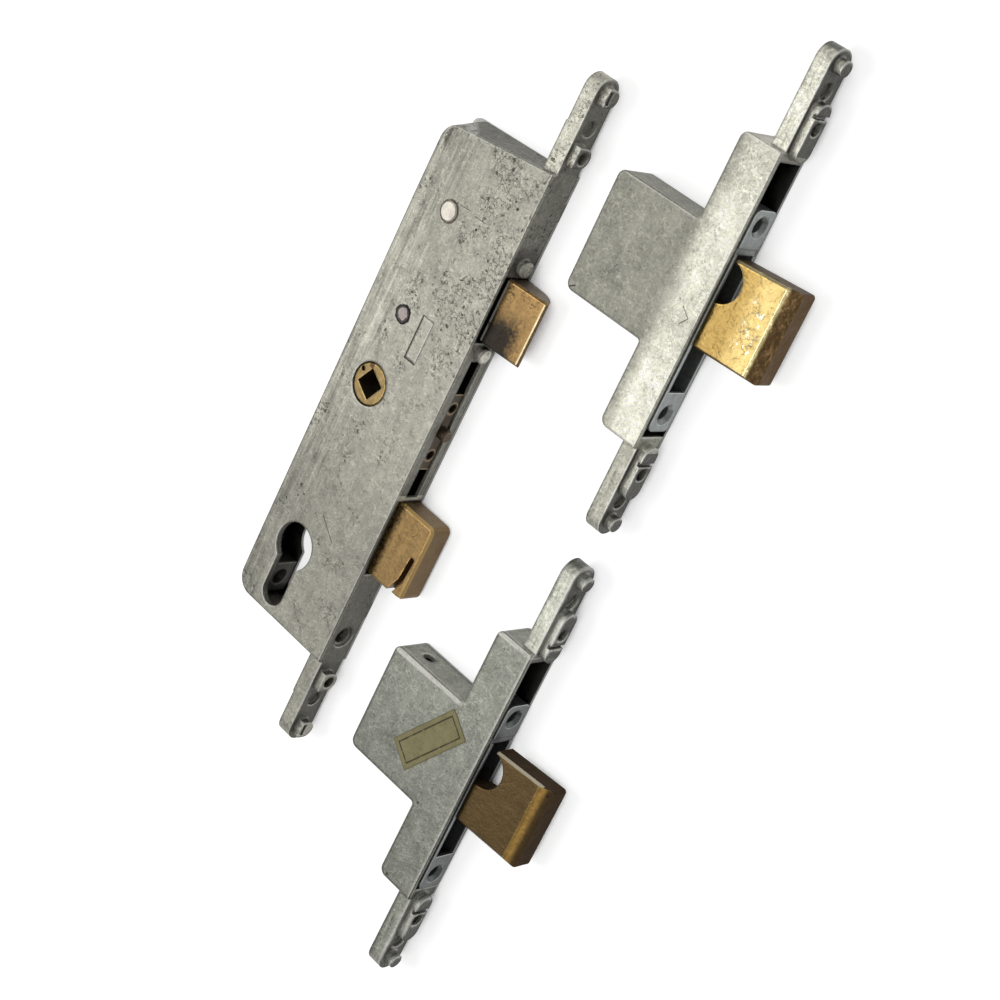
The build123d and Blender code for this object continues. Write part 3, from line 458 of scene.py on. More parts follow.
def zinc_finish(finish, zinc, skin, height, painted_shading, inside, marks, rough=0.5, edge=FINE_EDGE):
    """Paint shade on the walls that look to the front, scale the skin by the painted shading, paint shade in
    corners, lay bare zinc that carries a painted highlight on rubbed edges that turn to the light and
    painted shade on edges that turn from it, lay the marks, each a pair of colour and place, and paint the
    insides black as painted shade, on a die-cast case. Edge is the radius and the gain of the rubbed edges."""
    # Painted shade: walls that look to the front are darkened down to the painted front level
    front = finish.facing("X").ramp(0.55, 0.9)
    painted_shading = painted_shading * (1.0 - front * (1.0 - zinc.painted_front_level))
    skin = finish.scale(skin, painted_shading)
    # Painted shade in corners and hollows, where the sky is hidden
    shade_and_stain = finish.hollows(0.005).ramp(0.4, 0.85)
    skin = finish.blend(skin, zinc.grime_and_shade_tone[:], shade_and_stain * 0.8)
    # Bare zinc on rubbed edges, made bright as a painted highlight where the edge turns to the light, with
    # painted shade where it turns from it
    rubbed = finish.cloud(0.0035, 3.0).ramp(0.2, 0.42)
    lit, dim = finish.rims(*edge)
    bare = finish.scale(zinc.bare_and_highlight_tone[:], painted_shading.at_least(0.85).at_most(1.15))
    skin = finish.blend(skin, bare, lit * rubbed * (1.0 - shade_and_stain) * 0.95)
    skin = finish.blend(skin, zinc.grime_and_shade_tone[:], dim * 0.7)
    for tone, place in marks:
        skin = finish.blend(skin, tone, place)
    # Black painted shade on the insides
    skin = finish.blend(skin, zinc.inside_shade_tone[:], inside)
    finish.set(Base_Color=skin, Metallic=0.4, Roughness=rough)
    finish.bump(height * (1.0 - inside), 0.00026, 0.9)
    return finish.material


def main_zinc(zinc):
    """Gearbox case: brushed on its left, pitted on its right, darker towards its lower left, with painted
    highlights on the tongue sides, the stud's face and a lip of the front wall, a lighter front wall beside
    the slide, painted shade on the tongue fronts, on the walls that look along the case and on the front
    wall by the stud, scratches, and dark gaps round the heads and painted shade in the gap round the tenon
    in its plate."""
    finish = Finish("main_zinc")
    brushed = 1.2 - finish.x.ramp(-0.008, 0.004) * 0.85
    pitted = finish.x.ramp(0.002, 0.016) * finish.y.ramp(-0.01, 0.04)
    skin, height = zinc_skin(finish, zinc.main_tone[:], zinc, 1.0, brushed, pitted, 1.0)
    low = 1.0 - finish.y.ramp(-0.06, 0.02)
    high_left = finish.y.ramp(0.03, 0.07) * (1.0 - finish.x.ramp(-0.006, 0.01))
    painted_shading = 1.0 - low * 0.28 - low * (1.0 - finish.x.ramp(-0.012, 0.012)) * 0.1 - high_left * 0.14
    high_tongue = finish.y.ramp(0.099, 0.1)
    low_tongue = 1.0 - finish.y.ramp(-0.0975, -0.0965)
    tongue_side = finish.facing("Z").ramp(0.5, 0.9)
    front = finish.front_wall()
    # Painted light and shade, each a place and how much it lightens or darkens: highlights on the up-facing
    # tongue sides, shade on the tongue fronts, a lighter front wall beside the slide, a highlight on a lip
    # of the front wall, shade on walls that look along the case and on the front wall by the stud, and a
    # highlight on the stud's face
    painted_light_changes = (
        (high_tongue * tongue_side, 0.6),
        (low_tongue * tongue_side, 0.12),
        (finish.facing("X").ramp(0.5, 0.9) * high_tongue.at_least(low_tongue), -0.25),
        (front * finish.within(finish.y, -0.026, 0.036, 0.004), 0.35),
        (front * finish.within(finish.y, -0.0272, -0.0252, 0.0002), 2.2),
        (finish.facing("Y").ramp(0.6, 0.85) * (1.0 - high_tongue), -0.66),
        (front * finish.within(finish.y, 0.062, 0.0715, 0.002), -0.5),
        (front * finish.x.ramp(0.0325, 0.033) * (1.0 - high_tongue), 2.5))
    for place, change in painted_light_changes:
        painted_shading = painted_shading * (1.0 + place * change)
    # Black painted shade on the insides seen through the slot and the latch window, less of it at the bottom
    # end
    inside = finish.box((-0.0153, 0.0285), (-0.094, 0.0909), (0.0009, 0.0116))
    inside = inside * (1.0 - finish.within(finish.y, -0.094, -0.0745, 0.0005) * 0.45)
    inside = inside.at_least(finish.box((0.028, 0.0307), (-0.061, 0.0615), (0.0009, 0.0131)))
    # Dark spots and scratches, and painted shade in the gap round the tenon
    dark = finish.marks(spots=MAIN_SPOTS, strokes=MAIN_SCRATCHES + TENON_GAP_SHADE)
    flakes = finish.cloud(0.002, 3.0, 0.6).ramp(0.35, 0.55)
    broken = finish.cloud(0.0022, 3.0, 0.6).ramp(0.35, 0.5)
    rivet_gap = finish.ring(*RIVET, 0.0039, 0.0006, 0.0004) * (broken * 0.4 + 0.6)
    post_gap = finish.ring(*LEVER_POST, 0.0031, 0.0009, 0.0012)
    # The dent's painted shade is a darker copy of the case's zinc
    dent_shade_tone = tuple(0.32 * part for part in zinc.main_tone)
    marks = ((zinc.bare_and_highlight_tone[:], finish.marks(strokes=MAIN_RUBBED_CORNER) * flakes * 0.6),
             (dent_shade_tone, finish.stroke(*MAIN_DENT_SHADE) * 0.75),
             (zinc.grime_and_shade_tone[:], dark * 0.95),
             (linear(74, 62, 52), rivet_gap * 0.85),
             (linear(22, 19, 17), post_gap))
    return zinc_finish(finish, zinc, skin, height, painted_shading, inside, marks)


def hook_zinc(name, tone, zinc, foot, turn, painted_strip_sheen, fade, tongue_highlights, painted_wall_level, marks_of, shine,
              edge):
    """Hook case: fine grain on the box, and a strip along its front that is glossier, with a painted sheen
    on the upper case.
    Fade is how much darker the case grows downwards. Tongue highlights are the painted highlights on the
    up-facing sides of the low and the high tongue, whose other faces get painted shade, and the painted wall
    level darkens the walls that look along the case as painted shade. Marks_of is a function of the finish
    that gives pairs of colour and place."""
    finish = Finish(name, foot, turn)
    skin, height = zinc_skin(finish, tone, zinc, 1.2, 0.2, 0.4, 0.3)
    # Painted reflection: the strip is lightened by the painted strip sheen, most where the sheen lies
    strip = finish.x.ramp(-0.0175, -0.009)
    sheen = finish.within(finish.y, 0.052, 0.09, 0.018).at_least(1.0 - finish.y.ramp(0.02, 0.042))
    lower = 1.0 - finish.y.ramp(0.02, 0.09)
    painted_shading = (1.0 + strip * painted_strip_sheen * (sheen * 0.55 + 0.75)) * (1.0 - lower * fade)
    # Painted highlights on the up-facing sides of the tongues at both ends, and painted shade on their other
    # faces
    low_end = 1.0 - finish.y.ramp(-0.0004, 0.0)
    high_end = finish.y.ramp(0.1033, 0.1037)
    upward = finish.facing("Z").ramp(0.5, 0.9)
    streaks = finish.cloud(0.0011, 3.0, 0.6, finish.stretched(1.0, 0.15, 1.0)) - 0.5
    low_level, high_level = tongue_highlights
    ends = low_end.at_least(high_end)
    side = (low_end * low_level + high_end * high_level) * (1.0 + streaks * 1.6)
    painted_shading = painted_shading * (1.0 - ends) + ends * (upward * (side - 0.45) + 0.45)
    # Painted shade on the walls that look along the case
    wall = abs(finish.facing("Y")).ramp(0.6, 0.85)
    painted_shading = painted_shading * (1.0 - wall * (1.0 - painted_wall_level))
    # Black painted shade on the insides of the strip and the box
    inside = finish.box((-0.0145, -0.0007), (0.0042, 0.1002), (0.0009, 0.0128))
    inside = inside.at_least(finish.box((-0.0486, -0.0135), (0.0316, 0.0714), (0.0009, 0.0128)))
    return zinc_finish(finish, zinc, skin, height, painted_shading, inside, marks_of(finish, zinc),
                       0.5 - strip.at_least(ends) * shine, edge)


def upper_marks(finish, zinc):
    """A short dark dash and a small angle scratched into the upper hook case."""
    return ((zinc.grime_and_shade_tone[:], finish.marks(strokes=UPPER_SCRATCHES) * 0.9),)


def lower_marks(finish, zinc):
    """Olive stains, painted highlights along the upper edges, dark dots and a rusty spot on the lower hook
    case.
    """
    # Patches that break up the painted edge highlights
    rubbed = finish.cloud(0.0025, 3.0, 0.6).ramp(0.25, 0.5)
    mottled = finish.cloud(0.0022, 3.0, 0.6).ramp(0.45, 0.7)
    return ((zinc.pit_tone[:], finish.marks(spots=LOWER_STAINS) * mottled * 0.5),
            (zinc.bare_and_highlight_tone[:], finish.marks(strokes=LOWER_EDGE_HIGHLIGHTS) * rubbed * 0.9),
            (zinc.grime_and_shade_tone[:], finish.marks(spots=LOWER_DOTS) * 0.9),
            (linear(120, 84, 48), finish.marks(spots=LOWER_RUST) * 0.6))


def dull_brass(name, tone, brass, stain, polish=0.0, lumps=0.0, foot=(0.0, 0.0), turn=0.0, shade=None,
               calm=0.0):
    """Cast brass with brown film, stains, fine grain, painted shade in corners, and rubbed edges that carry
    a painted highlight where they turn to the light and painted shade where they turn from it. The shade, a
    function of the finish, gives pairs of colour and place that are laid over the skin. Calm is the share of
    the mottling that is left out, and makes the walls duller."""
    finish = Finish(name, foot, turn)
    wide = finish.cloud(0.012, 4.0, 0.6) - 0.5
    grain = finish.cloud(0.0011, 3.0, 0.65) - 0.5
    drags = finish.cloud(0.0012, 3.0, 0.6, finish.stretched(1.0, 0.12, 1.0)) - 0.5
    patches = finish.cloud(0.0035, 4.0, 0.6) - 0.5
    level = 1.0 + (wide * 0.8 + grain * 1.1 + drags * 0.7 + patches * 0.9) * (1.0 - calm)
    skin = finish.scale(tone, level.at_least(0.3).at_most(1.8))
    film = finish.cloud(0.009, 5.0, 0.65).ramp(0.62 - 0.3 * stain, 0.78 - 0.2 * stain)
    skin = finish.blend(skin, brass.stain_tone[:], film * stain)
    # Painted shade in corners and hollows
    shade_and_stain = finish.hollows(0.002).ramp(0.5, 0.95)
    skin = finish.blend(skin, brass.stain_tone[:], shade_and_stain * 0.85)
    # Painted highlights on rubbed edges that turn to the light, and painted shade on edges that turn from it
    lit, dim = finish.rims(0.0008, 4.0)
    bright = tuple(min(1.0, 2.6 * part) for part in tone)
    rubbed = finish.cloud(0.003, 3.0).ramp(0.3, 0.5)
    skin = finish.blend(skin, bright, lit * rubbed * (1.0 - shade_and_stain) * 0.85)
    skin = finish.blend(skin, brass.stain_tone[:], dim * 0.6)
    if shade is not None:
        for over, place in shade(finish, brass):
            skin = finish.blend(skin, over, place)
    upright = 1.0 - finish.facing("Z").ramp(0.3, 0.7)
    rough = 0.46 - polish + patches * 0.3 + film * 0.15 + upright * calm * 0.7
    finish.set(Base_Color=skin, Metallic=0.6, Roughness=rough.at_least(0.15).at_most(0.9))
    knots = finish.cloud(0.0046, 2.0, 0.5) - 0.5
    finish.bump(patches * 0.5 + grain * 0.6 + drags * 0.2 + knots * (3.0 * lumps), 0.0002, 0.9)
    return finish.material


def latch_shade(finish, brass):
    """Dark stain over the rear corner of the latch bolt's face, thin cracks, a painted highlight line at the
    foot of the head, a painted highlight on the nose edge, grey painted shade on the side walls and the
    nose, and black painted shade on the part within the case."""
    face = finish.upper_face()
    edge = (finish.cloud(0.0035, 4.0, 0.65) - 0.5) * 0.008 + (finish.cloud(0.001, 3.0, 0.7) - 0.5) * 0.006
    stain = (1.0 - (finish.x + edge).ramp(0.0400, 0.0470)) * (1.0 - (finish.y + edge).ramp(0.0440, 0.0530))
    # Colour of the dark stain
    shade_and_stain = tuple(0.4 * part for part in brass.stain_tone)
    cracks = finish.worms(0.007, 0.97, 0.998) * finish.y.ramp(0.052, 0.055)
    # Painted shade on the side walls and the nose, painted highlights on the nose edge and at the foot of
    # the head, and black painted shade on the part within the case
    side = finish.side_walls()
    nose = finish.facing("X").ramp(0.5, 0.8)
    foot = 1.0 - finish.x.ramp(0.0314, 0.0316)
    line = finish.within(finish.x, 0.0315, 0.0323, 0.0001) * finish.cloud(0.003, 3.0).ramp(0.25, 0.4)
    tip = finish.within(finish.x, 0.0470, 0.0476, 0.0001) * face
    return ((shade_and_stain, (stain * 0.97).at_least(cracks * 0.75)), (linear(92, 86, 74), side * 0.8),
            (linear(92, 88, 78), nose * 0.5), (linear(250, 232, 190), tip * 0.8),
            (linear(240, 238, 228), line * face * 0.95), (linear(10, 9, 8), foot))


def deadbolt_shade(finish, brass):
    """Brown painted shade on the deadbolt's nose and side walls, painted highlights on its rounded edges,
    dirt along its rear and the painted shade of a faint curved dent."""
    # Painted shade on the side walls and the nose
    brown = (finish.side_walls() * 0.6).at_least(finish.facing("X").ramp(0.5, 0.8) * 0.7)
    grit = finish.cloud(0.0012, 2.0, 0.6).ramp(0.5, 0.56) * (1.0 - finish.x.ramp(0.033, 0.036))
    # Painted shade of a faint curved dent
    away = finish.distance(finish.flat, (0.0413, -0.0332, 0.0))
    dent = finish.within(away, 0.0020, 0.0023, 0.0001) * finish.x.ramp(0.0405, 0.042)
    # The rounded edges get a painted highlight
    return ((linear(104, 82, 52), brown), (linear(232, 196, 130), finish.turned() * 0.75),
            (brass.stain_tone[:], (grit * 0.7).at_least(dent * 0.5)))


def upper_hook_shade(finish, brass):
    """Painted highlight over the front half of the upper hook's rough face, torn scars with white flecks
    that are bare metal and painted glints, painted highlights on its edges, and brown painted shade on its
    nose and sides."""
    face = finish.upper_face()
    # Painted highlight over the front half of the face
    front = finish.x.ramp(0.008, 0.016)
    scarred = finish.within(finish.x, 0.0125, 0.0195, 0.001) * finish.within(finish.y, 0.043, 0.0605, 0.002)
    # White flecks in the scars: bare metal that also stands for painted glints
    flakes = finish.cloud(0.0028, 3.0, 0.6).ramp(0.56, 0.62) * scarred
    tears = finish.worms(0.0052, 0.955, 0.99) * (scarred * 0.85 + 0.08)
    # Painted highlight line at the edge of the face, brown painted shade on the nose beyond it, and a
    # painted highlight on the top edge
    line = finish.within(finish.x, 0.0207, 0.0216, 0.0002)
    nose = finish.x.ramp(0.0216, 0.0224)
    top_edge = finish.turned() * finish.facing("Y").ramp(0.2, 0.4)
    # The side walls get brown painted shade
    return ((linear(218, 194, 128), front * face * 0.5), (linear(255, 250, 228), flakes * face * 0.7),
            (brass.stain_tone[:], tears * face * 0.65), (linear(252, 238, 190), line * face * 0.8),
            (linear(252, 236, 184), top_edge * 0.8), (linear(92, 66, 32), nose * 0.95),
            (linear(76, 54, 28), finish.side_walls() * 0.9))


def lower_hook_shade(finish, brass):
    """Lighter band before the nose of the lower hook, brown painted shade beyond it, on its nose and on its
    walls, a painted highlight on its top edge and a dark speck."""
    face = finish.upper_face()
    flecked = finish.cloud(0.0016, 3.0, 0.6).ramp(0.3, 0.65) * 0.4 + 0.6
    band = finish.within(finish.x, 0.0233, 0.0258, 0.0011) * face * flecked
    # Painted highlight on the top edge
    top_edge = finish.turned() * finish.facing("Y").ramp(0.2, 0.4)
    edge = finish.within(finish.x, 0.003, 0.0245, 0.0004) * top_edge
    # Brown painted shade on the nose, the walls and the slope beyond the band
    nose = finish.facing("X").ramp(0.4, 0.7)
    beyond = finish.x.ramp(0.0258, 0.0285) * finish.facing("Z").ramp(0.3, 0.6)
    brown = (finish.side_walls() * 0.95).at_least(nose * 0.9).at_least(beyond * 0.8)
    speck = finish.spot(0.0270, 0.0655, 0.0005)
    return ((linear(206, 162, 84), band * 0.85), (linear(255, 244, 216), edge * 0.95),
            (linear(66, 47, 24), brown), (brass.stain_tone[:], speck * face * 0.9))


def slide_shade(finish, brass):
    """Light rings round the two tapped holes of the drive slide, and pale ends."""
    rings = [finish.within(finish.distance(finish.place, hole), 0.0021, 0.0026, 0.0001)
             for hole in SLIDE_HOLES]
    front = finish.facing("X").ramp(0.7, 0.9)
    ends = finish.y.ramp(0.0148, 0.0151).at_least(1.0 - finish.y.ramp(-0.0146, -0.0143))
    return ((linear(170, 152, 122), rings[0].at_least(rings[1]).at_least(ends) * front * 0.7),)


def follower_shade(finish, brass):
    """Reddish spot beside the square hole, and black painted shade on the side wall in the gap round the
    disc.
    """
    dot = finish.spot(-0.0024, 0.0062, 0.0011, 0.15)
    # Painted shade on the side wall
    side = 1.0 - finish.facing("Z").ramp(0.3, 0.6)
    return ((linear(60, 26, 14), dot * 0.8), (linear(20, 16, 10), side * 0.8))


def plain_steel(name, tone, dirt=0.3, rough=0.4, shade_of=None):
    """Plated or oiled steel with fine streaks, dirt in patches, painted shade in the corners and on edges
    that turn from the light, and painted highlights on edges that turn to it. Shade_of is a function of the
    finish that gives its brightness from place to place."""
    finish = Finish(name)
    streaks = finish.cloud(0.0009, 3.0, 0.6, finish.stretched(1.0, 0.1, 1.0)) - 0.5
    patches = finish.cloud(0.005, 4.0, 0.6)
    grain = finish.cloud(0.0012, 3.0, 0.6) - 0.5
    level = 1.0 + streaks * 0.8 + (patches - 0.5) * 0.8 + grain * 0.8
    if shade_of is not None:
        level = level * shade_of(finish)
    skin = finish.scale(tone, level.at_least(0.2).at_most(1.8))
    # Painted shade in corners and hollows, laid with the dirt
    shade_and_stain = finish.hollows(0.003).ramp(0.4, 0.95)
    skin = finish.blend(skin, STEEL_FILM_AND_SHADE, (patches.ramp(0.5, 0.75) * dirt).at_least(shade_and_stain * 0.8))
    # Painted highlights on edges that turn to the light, and painted shade on edges that turn from it
    lit, dim = finish.rims(0.0007, 4.5)
    bright = tuple(min(1.0, 3.0 * part) for part in tone)
    skin = finish.blend(skin, bright, lit * 0.7)
    skin = finish.blend(skin, STEEL_FILM_AND_SHADE, dim * 0.6)
    finish.set(Base_Color=skin, Metallic=0.7, Roughness=rough + (patches - 0.5) * 0.3)
    finish.bump(streaks * 0.4 + patches * 0.3, 0.00006, 0.8)
    return finish.material


def carriage_shade(finish):
    """Brighter on the upper case's carriage than on the lower one's."""
    return finish.y.ramp(-0.02, 0.02) * 0.75 + 0.6


def cover_sheet(tone):
    """Plated sheet of a rear cover: fine streaks outside, and black painted shade on the side that faces in,
    where it is hidden from the sky.
    """
    finish = Finish("cover_steel")
    streaks = finish.cloud(0.0009, 3.0, 0.6, finish.stretched(1.0, 0.1, 1.0)) - 0.5
    patches = finish.cloud(0.006, 4.0, 0.6) - 0.5
    grain = finish.cloud(0.0012, 3.0, 0.6) - 0.5
    level = 1.0 + streaks * 0.7 + patches * 0.7 + grain * 0.6
    # Painted shade: inner faces go black where the sky is hidden
    inner = finish.facing("Z").ramp(0.5, 0.8) * finish.hollows(0.02).ramp(0.56, 0.66)
    skin = finish.blend(finish.scale(tone, level), INNER_SHADE_BLACK, inner)
    finish.set(Base_Color=skin, Metallic=0.6, Roughness=0.42 + patches * 0.3)
    finish.bump(streaks * 0.4 + patches * 0.3, 0.00006, 0.8)
    return finish.material


def rivet_head(name, tone, radius, place, uneven, line):
    """Bare rivet head with a dark outline where it is spread into the plate. Line is its colour."""
    finish = Finish(name)
    grain = finish.cloud(0.0012, 3.0, 0.6) - 0.5
    patches = finish.cloud(0.004, 3.0, 0.6) - 0.5
    skin = finish.scale(tone, 1.0 + grain * 0.6 + patches * 0.6)
    outline = finish.uneven_distance(*place, uneven).ramp(radius, radius + 0.0001)
    skin = finish.blend(skin, line, outline * 0.9)
    finish.set(Base_Color=skin, Metallic=0.4, Roughness=0.45)
    finish.bump(grain * 0.5 + patches * 0.3, 0.0001, 0.8)
    return finish.material


def label_paper(settings):
    """Yellowed paper with a thin printed border, stains and worn corners, on the piece's own map."""
    finish = Finish("label_paper")
    sheet = finish.node("ShaderNodeTexCoord", out="UV")
    across = finish.node("ShaderNodeSeparateXYZ", None, sheet, out="X") * settings.width
    up = finish.node("ShaderNodeSeparateXYZ", None, sheet, out="Y") * settings.height
    from_side = across.at_most(settings.width - across)
    from_end = up.at_most(settings.height - up)
    inset = from_side.at_most(from_end)
    border = 1.0 - (abs(inset - settings.margin) / settings.line).ramp(0.35, 0.65)
    faded = finish.cloud(0.0015, 3.0, 0.6).ramp(0.15, 0.5)
    fibres = finish.cloud(0.0008, 4.0, 0.7)
    stains = finish.cloud(0.005, 4.0, 0.6)
    paper = finish.blend(tuple(0.72 * part for part in settings.paper_tone),
                         tuple(min(1.0, 1.1 * part) for part in settings.paper_tone),
                         (fibres * 0.5 + stains * 0.5).ramp(0.3, 0.65))
    rim = 1.0 - inset.ramp(0.0, 0.0006)
    paper = finish.blend(paper, settings.ink_tone[:], (border * faded * 0.95).at_least(rim * 0.4))
    finish.set(Base_Color=paper, Roughness=0.7, Specular_IOR_Level=0.3)
    finish.bump(fibres * 0.5 + stains * 0.5, 0.00008, 0.6)
    return finish.material


def stage_white():
    """Floor that shows as white to the camera and in reflections, still takes shadows, and has a painted
    shadow where the object stands close on both sides."""
    finish = Finish("stage_white")
    finish.set(Base_Color=(0.5, 0.5, 0.5), Roughness=0.9, Specular_IOR_Level=0.0)
    rays = finish.tree.nodes.new("ShaderNodeLightPath")
    seen = Field(finish, rays.outputs["Is Camera Ray"])
    mirrored = Field(finish, rays.outputs["Is Glossy Ray"])
    through = Field(finish, rays.outputs["Is Transmission Ray"])
    # Painted shadow: the floor's white glow fades to black where the object hides much of the sky
    painted_contact_shadow = finish.hollows(0.012).ramp(0.62, 0.75)
    finish.set(Emission_Color=finish.blend((1.0, 1.0, 1.0), (0.0, 0.0, 0.0), painted_contact_shadow),
               Emission_Strength=seen.at_least(mirrored).at_least(through) * 0.78)
    return finish.material


def dress(node, material):
    """Give a node of the frame its finish."""
    for slot in frame["nodes"][node].material_slots:
        slot.material = material


def surface(name, points, body, material, tube=False, maps=None):
    """Mesh from a grid of points, shape (rows, columns, 3), that rides on a body. Each face joins
    neighbours of two rows and two columns, and on a tube the last column is joined to the first."""
    rows, columns = points.shape[:2]
    row = np.arange(rows - 1)[:, None] * columns
    column = np.arange(columns if tube else columns - 1)
    beside = (column + 1) % columns
    corners = (row + column, row + beside, row + columns + beside, row + columns + column)
    mesh = bpy.data.meshes.new(name)
    mesh.from_pydata(points.reshape(-1, 3).tolist(), [],
                     np.stack([corner.ravel() for corner in corners], 1).tolist())
    if maps is not None:
        layer = mesh.uv_layers.new(name="map")
        corner = np.empty(len(mesh.loops), dtype=np.int64)
        mesh.loops.foreach_get("vertex_index", corner)
        layer.data.foreach_set("uv", maps.reshape(-1, 2)[corner].ravel())
    mesh.materials.append(material)
    piece = bpy.data.objects.new(name, mesh)
    bpy.context.scene.collection.objects.link(piece)
    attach(piece, body)
    return piece


def coil(start, end, centre, radius, wire, turns, steps_per_turn=24, sides=8):
    """Wire wound about an axis along X, as a grid of points. The angle grows evenly along the wire. The
    place on the axis grows evenly too, less a sine of the whole way, which draws the end turns
    together. A circle of the wire's radius is carried along, square to the run, and shrinks to nothing
    at both ends, which closes them."""
    way = np.linspace(0.0, 1.0, int(steps_per_turn * turns) + 1)
    way = np.concatenate([[0.0], way, [1.0]])
    thick = np.full(way.shape, wire)
    thick[[0, -1]] = 0.0
    angle = 2.0 * np.pi * turns * way
    risen = way - 0.1 * np.sin(2.0 * np.pi * way)
    none = np.zeros_like(way)
    path = np.stack([start + (end - start) * risen, centre[0] + radius * np.cos(angle),
                     centre[1] + radius * np.sin(angle)], -1)
    outward = np.stack([none, np.cos(angle), np.sin(angle)], -1)
    rise = (end - start) / (2.0 * np.pi * turns * radius)
    run = np.stack([none + rise, -np.sin(angle), np.cos(angle)], -1) / np.hypot(rise, 1.0)
    across = np.cross(run, outward)
    turn = np.linspace(0.0, 2.0 * np.pi, sides, endpoint=False)[None, :, None]
    ring = np.cos(turn) * outward[:, None] + np.sin(turn) * across[:, None]
    return path[:, None] + thick[:, None, None] * ring


def close_ends(piece):
    """Merge the points that meet at a piece's ends and turn its faces outwards."""
    shape = bmesh.new()
    shape.from_mesh(piece.data)
    bmesh.ops.remove_doubles(shape, verts=shape.verts, dist=0.000001)
    bmesh.ops.recalc_face_normals(shape, faces=shape.faces)
    shape.to_mesh(piece.data)
    shape.free()


def on_lower_case(points):
    """Move points from the lower hook case's own axes into the frame."""
    turn = np.array([[cos(LOWER_TURN), -sin(LOWER_TURN), 0.0],
                     [sin(LOWER_TURN), cos(LOWER_TURN), 0.0],
                     [0.0, 0.0, 1.0]])
    return points @ turn.T + np.array([*LOWER_FOOT, 0.0])


class LOCK_OT_zinc(bpy.types.Operator):
    """Give the three die-cast cases their finish"""
    bl_idname = "lock.zinc"
    bl_label = "Dress the cases"

    def execute(self, context):
        zinc = context.scene.lock_zinc
        gearbox = main_zinc(zinc)
        dress("main_case", gearbox)
        dress("guide_block", gearbox)
        dress("upper_case", hook_zinc(
            "upper_zinc", zinc.upper_tone[:], zinc, UPPER_FOOT, UPPER_TURN, painted_strip_sheen=1.15, fade=0.0,
            tongue_highlights=(1.3, 2.3), painted_wall_level=0.65, marks_of=upper_marks, shine=0.14, edge=FINE_EDGE))
        dress("lower_case", hook_zinc(
            "lower_zinc", zinc.lower_tone[:], zinc, LOWER_FOOT, LOWER_TURN, painted_strip_sheen=0.0, fade=0.26,
            tongue_highlights=(0.85, 1.9), painted_wall_level=0.82, marks_of=lower_marks, shine=0.05, edge=WIDE_EDGE))
        return {"FINISHED"}


class LOCK_OT_brass(bpy.types.Operator):
    """Give the bolts, the follower and the drive slide their finish"""
    bl_idname = "lock.brass"
    bl_label = "Dress the brass"

    def execute(self, context):
        brass = context.scene.lock_brass
        stud_tone = tuple(1.3 * part for part in brass.slide_tone)
        dress("latch_bolt", dull_brass("latch_brass", brass.latch_tone[:], brass, 0.1, shade=latch_shade))
        dress("deadbolt", dull_brass("deadbolt_brass", brass.deadbolt_tone[:], brass, 0.1,
                                     shade=deadbolt_shade))
        dress("upper_hook_bolt", dull_brass(
            "upper_hook_brass", brass.upper_hook_tone[:], brass, 0.1, polish=0.15, lumps=1.3,
            foot=UPPER_FOOT, turn=UPPER_TURN, shade=upper_hook_shade, calm=0.35))
        dress("lower_hook_bolt", dull_brass(
            "lower_hook_brass", brass.lower_hook_tone[:], brass, 0.2, polish=0.05, lumps=0.3,
            foot=LOWER_FOOT, turn=LOWER_TURN, shade=lower_hook_shade, calm=0.6))
        dress("follower", dull_brass("follower_brass", brass.follower_tone[:], brass, 0.15,
                                     shade=follower_shade))
        dress("drive_slide", dull_brass("slide_bronze", brass.slide_tone[:], brass, 0.2,
                                        shade=slide_shade))
        dress("slide_stud", dull_brass("stud_bronze", stud_tone, brass, 0.1))
        return {"FINISHED"}


class LOCK_OT_steel(bpy.types.Operator):
    """Give the carriages, covers, levers and fasteners their finish"""
    bl_idname = "lock.steel"
    bl_label = "Dress the steel"

    def execute(self, context):
        steel = context.scene.lock_steel
        carriage = plain_steel("carriage_steel", steel.plate_tone[:], shade_of=carriage_shade)
        oiled = plain_steel("oiled_steel", steel.oiled_tone[:], dirt=0.6, rough=0.5)
        cover = cover_sheet(steel.cover_tone[:])
        for case in ("upper", "lower"):
            dress(f"{case}_carriage", carriage)
            dress(f"{case}_drive_pin", oiled)
        for case in ("main", "upper", "lower"):
            dress(f"{case}_cover", cover)
        dress("top_rivet", rivet_head("rivet_head", steel.rivet_tone[:], 0.00345, RIVET, 0.0003,
                                      linear(92, 74, 62)))
        dress("latch_lever_post", rivet_head("post_head", steel.post_tone[:], 0.0021, LEVER_POST, 0.0016,
                                             linear(18, 15, 13)))
        dress("latch_lever", oiled)
        return {"FINISHED"}


class LOCK_OT_spring(bpy.types.Operator):
    """Wind the latch spring"""
    bl_idname = "lock.spring"
    bl_label = "Latch spring"

    def execute(self, context):
        settings = context.scene.lock_spring
        low, high = np.array(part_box("latch_spring"))
        centre = (low[1:] + high[1:]) / 2
        wire = settings.wire / 2
        radius = (high[1] - low[1]) / 2 - wire
        points = coil(low[0] + wire, high[0] - wire, centre, radius, wire, settings.turns)
        steel = plain_steel("spring_wire", context.scene.lock_steel.oiled_tone[:], dirt=0.6, rough=0.5)
        piece = surface("latch_coil", points, "cases", steel, tube=True)
        close_ends(piece)
        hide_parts("latch_spring")
        slide = next(joint for joint in frame["joints"] if joint["name"] == "latch_slide")
        travel = max(abs(limit) for limit in slide["range_m"])
        1.0 - travel / (high[0] - low[0])
        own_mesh(piece)
        return {"FINISHED"}


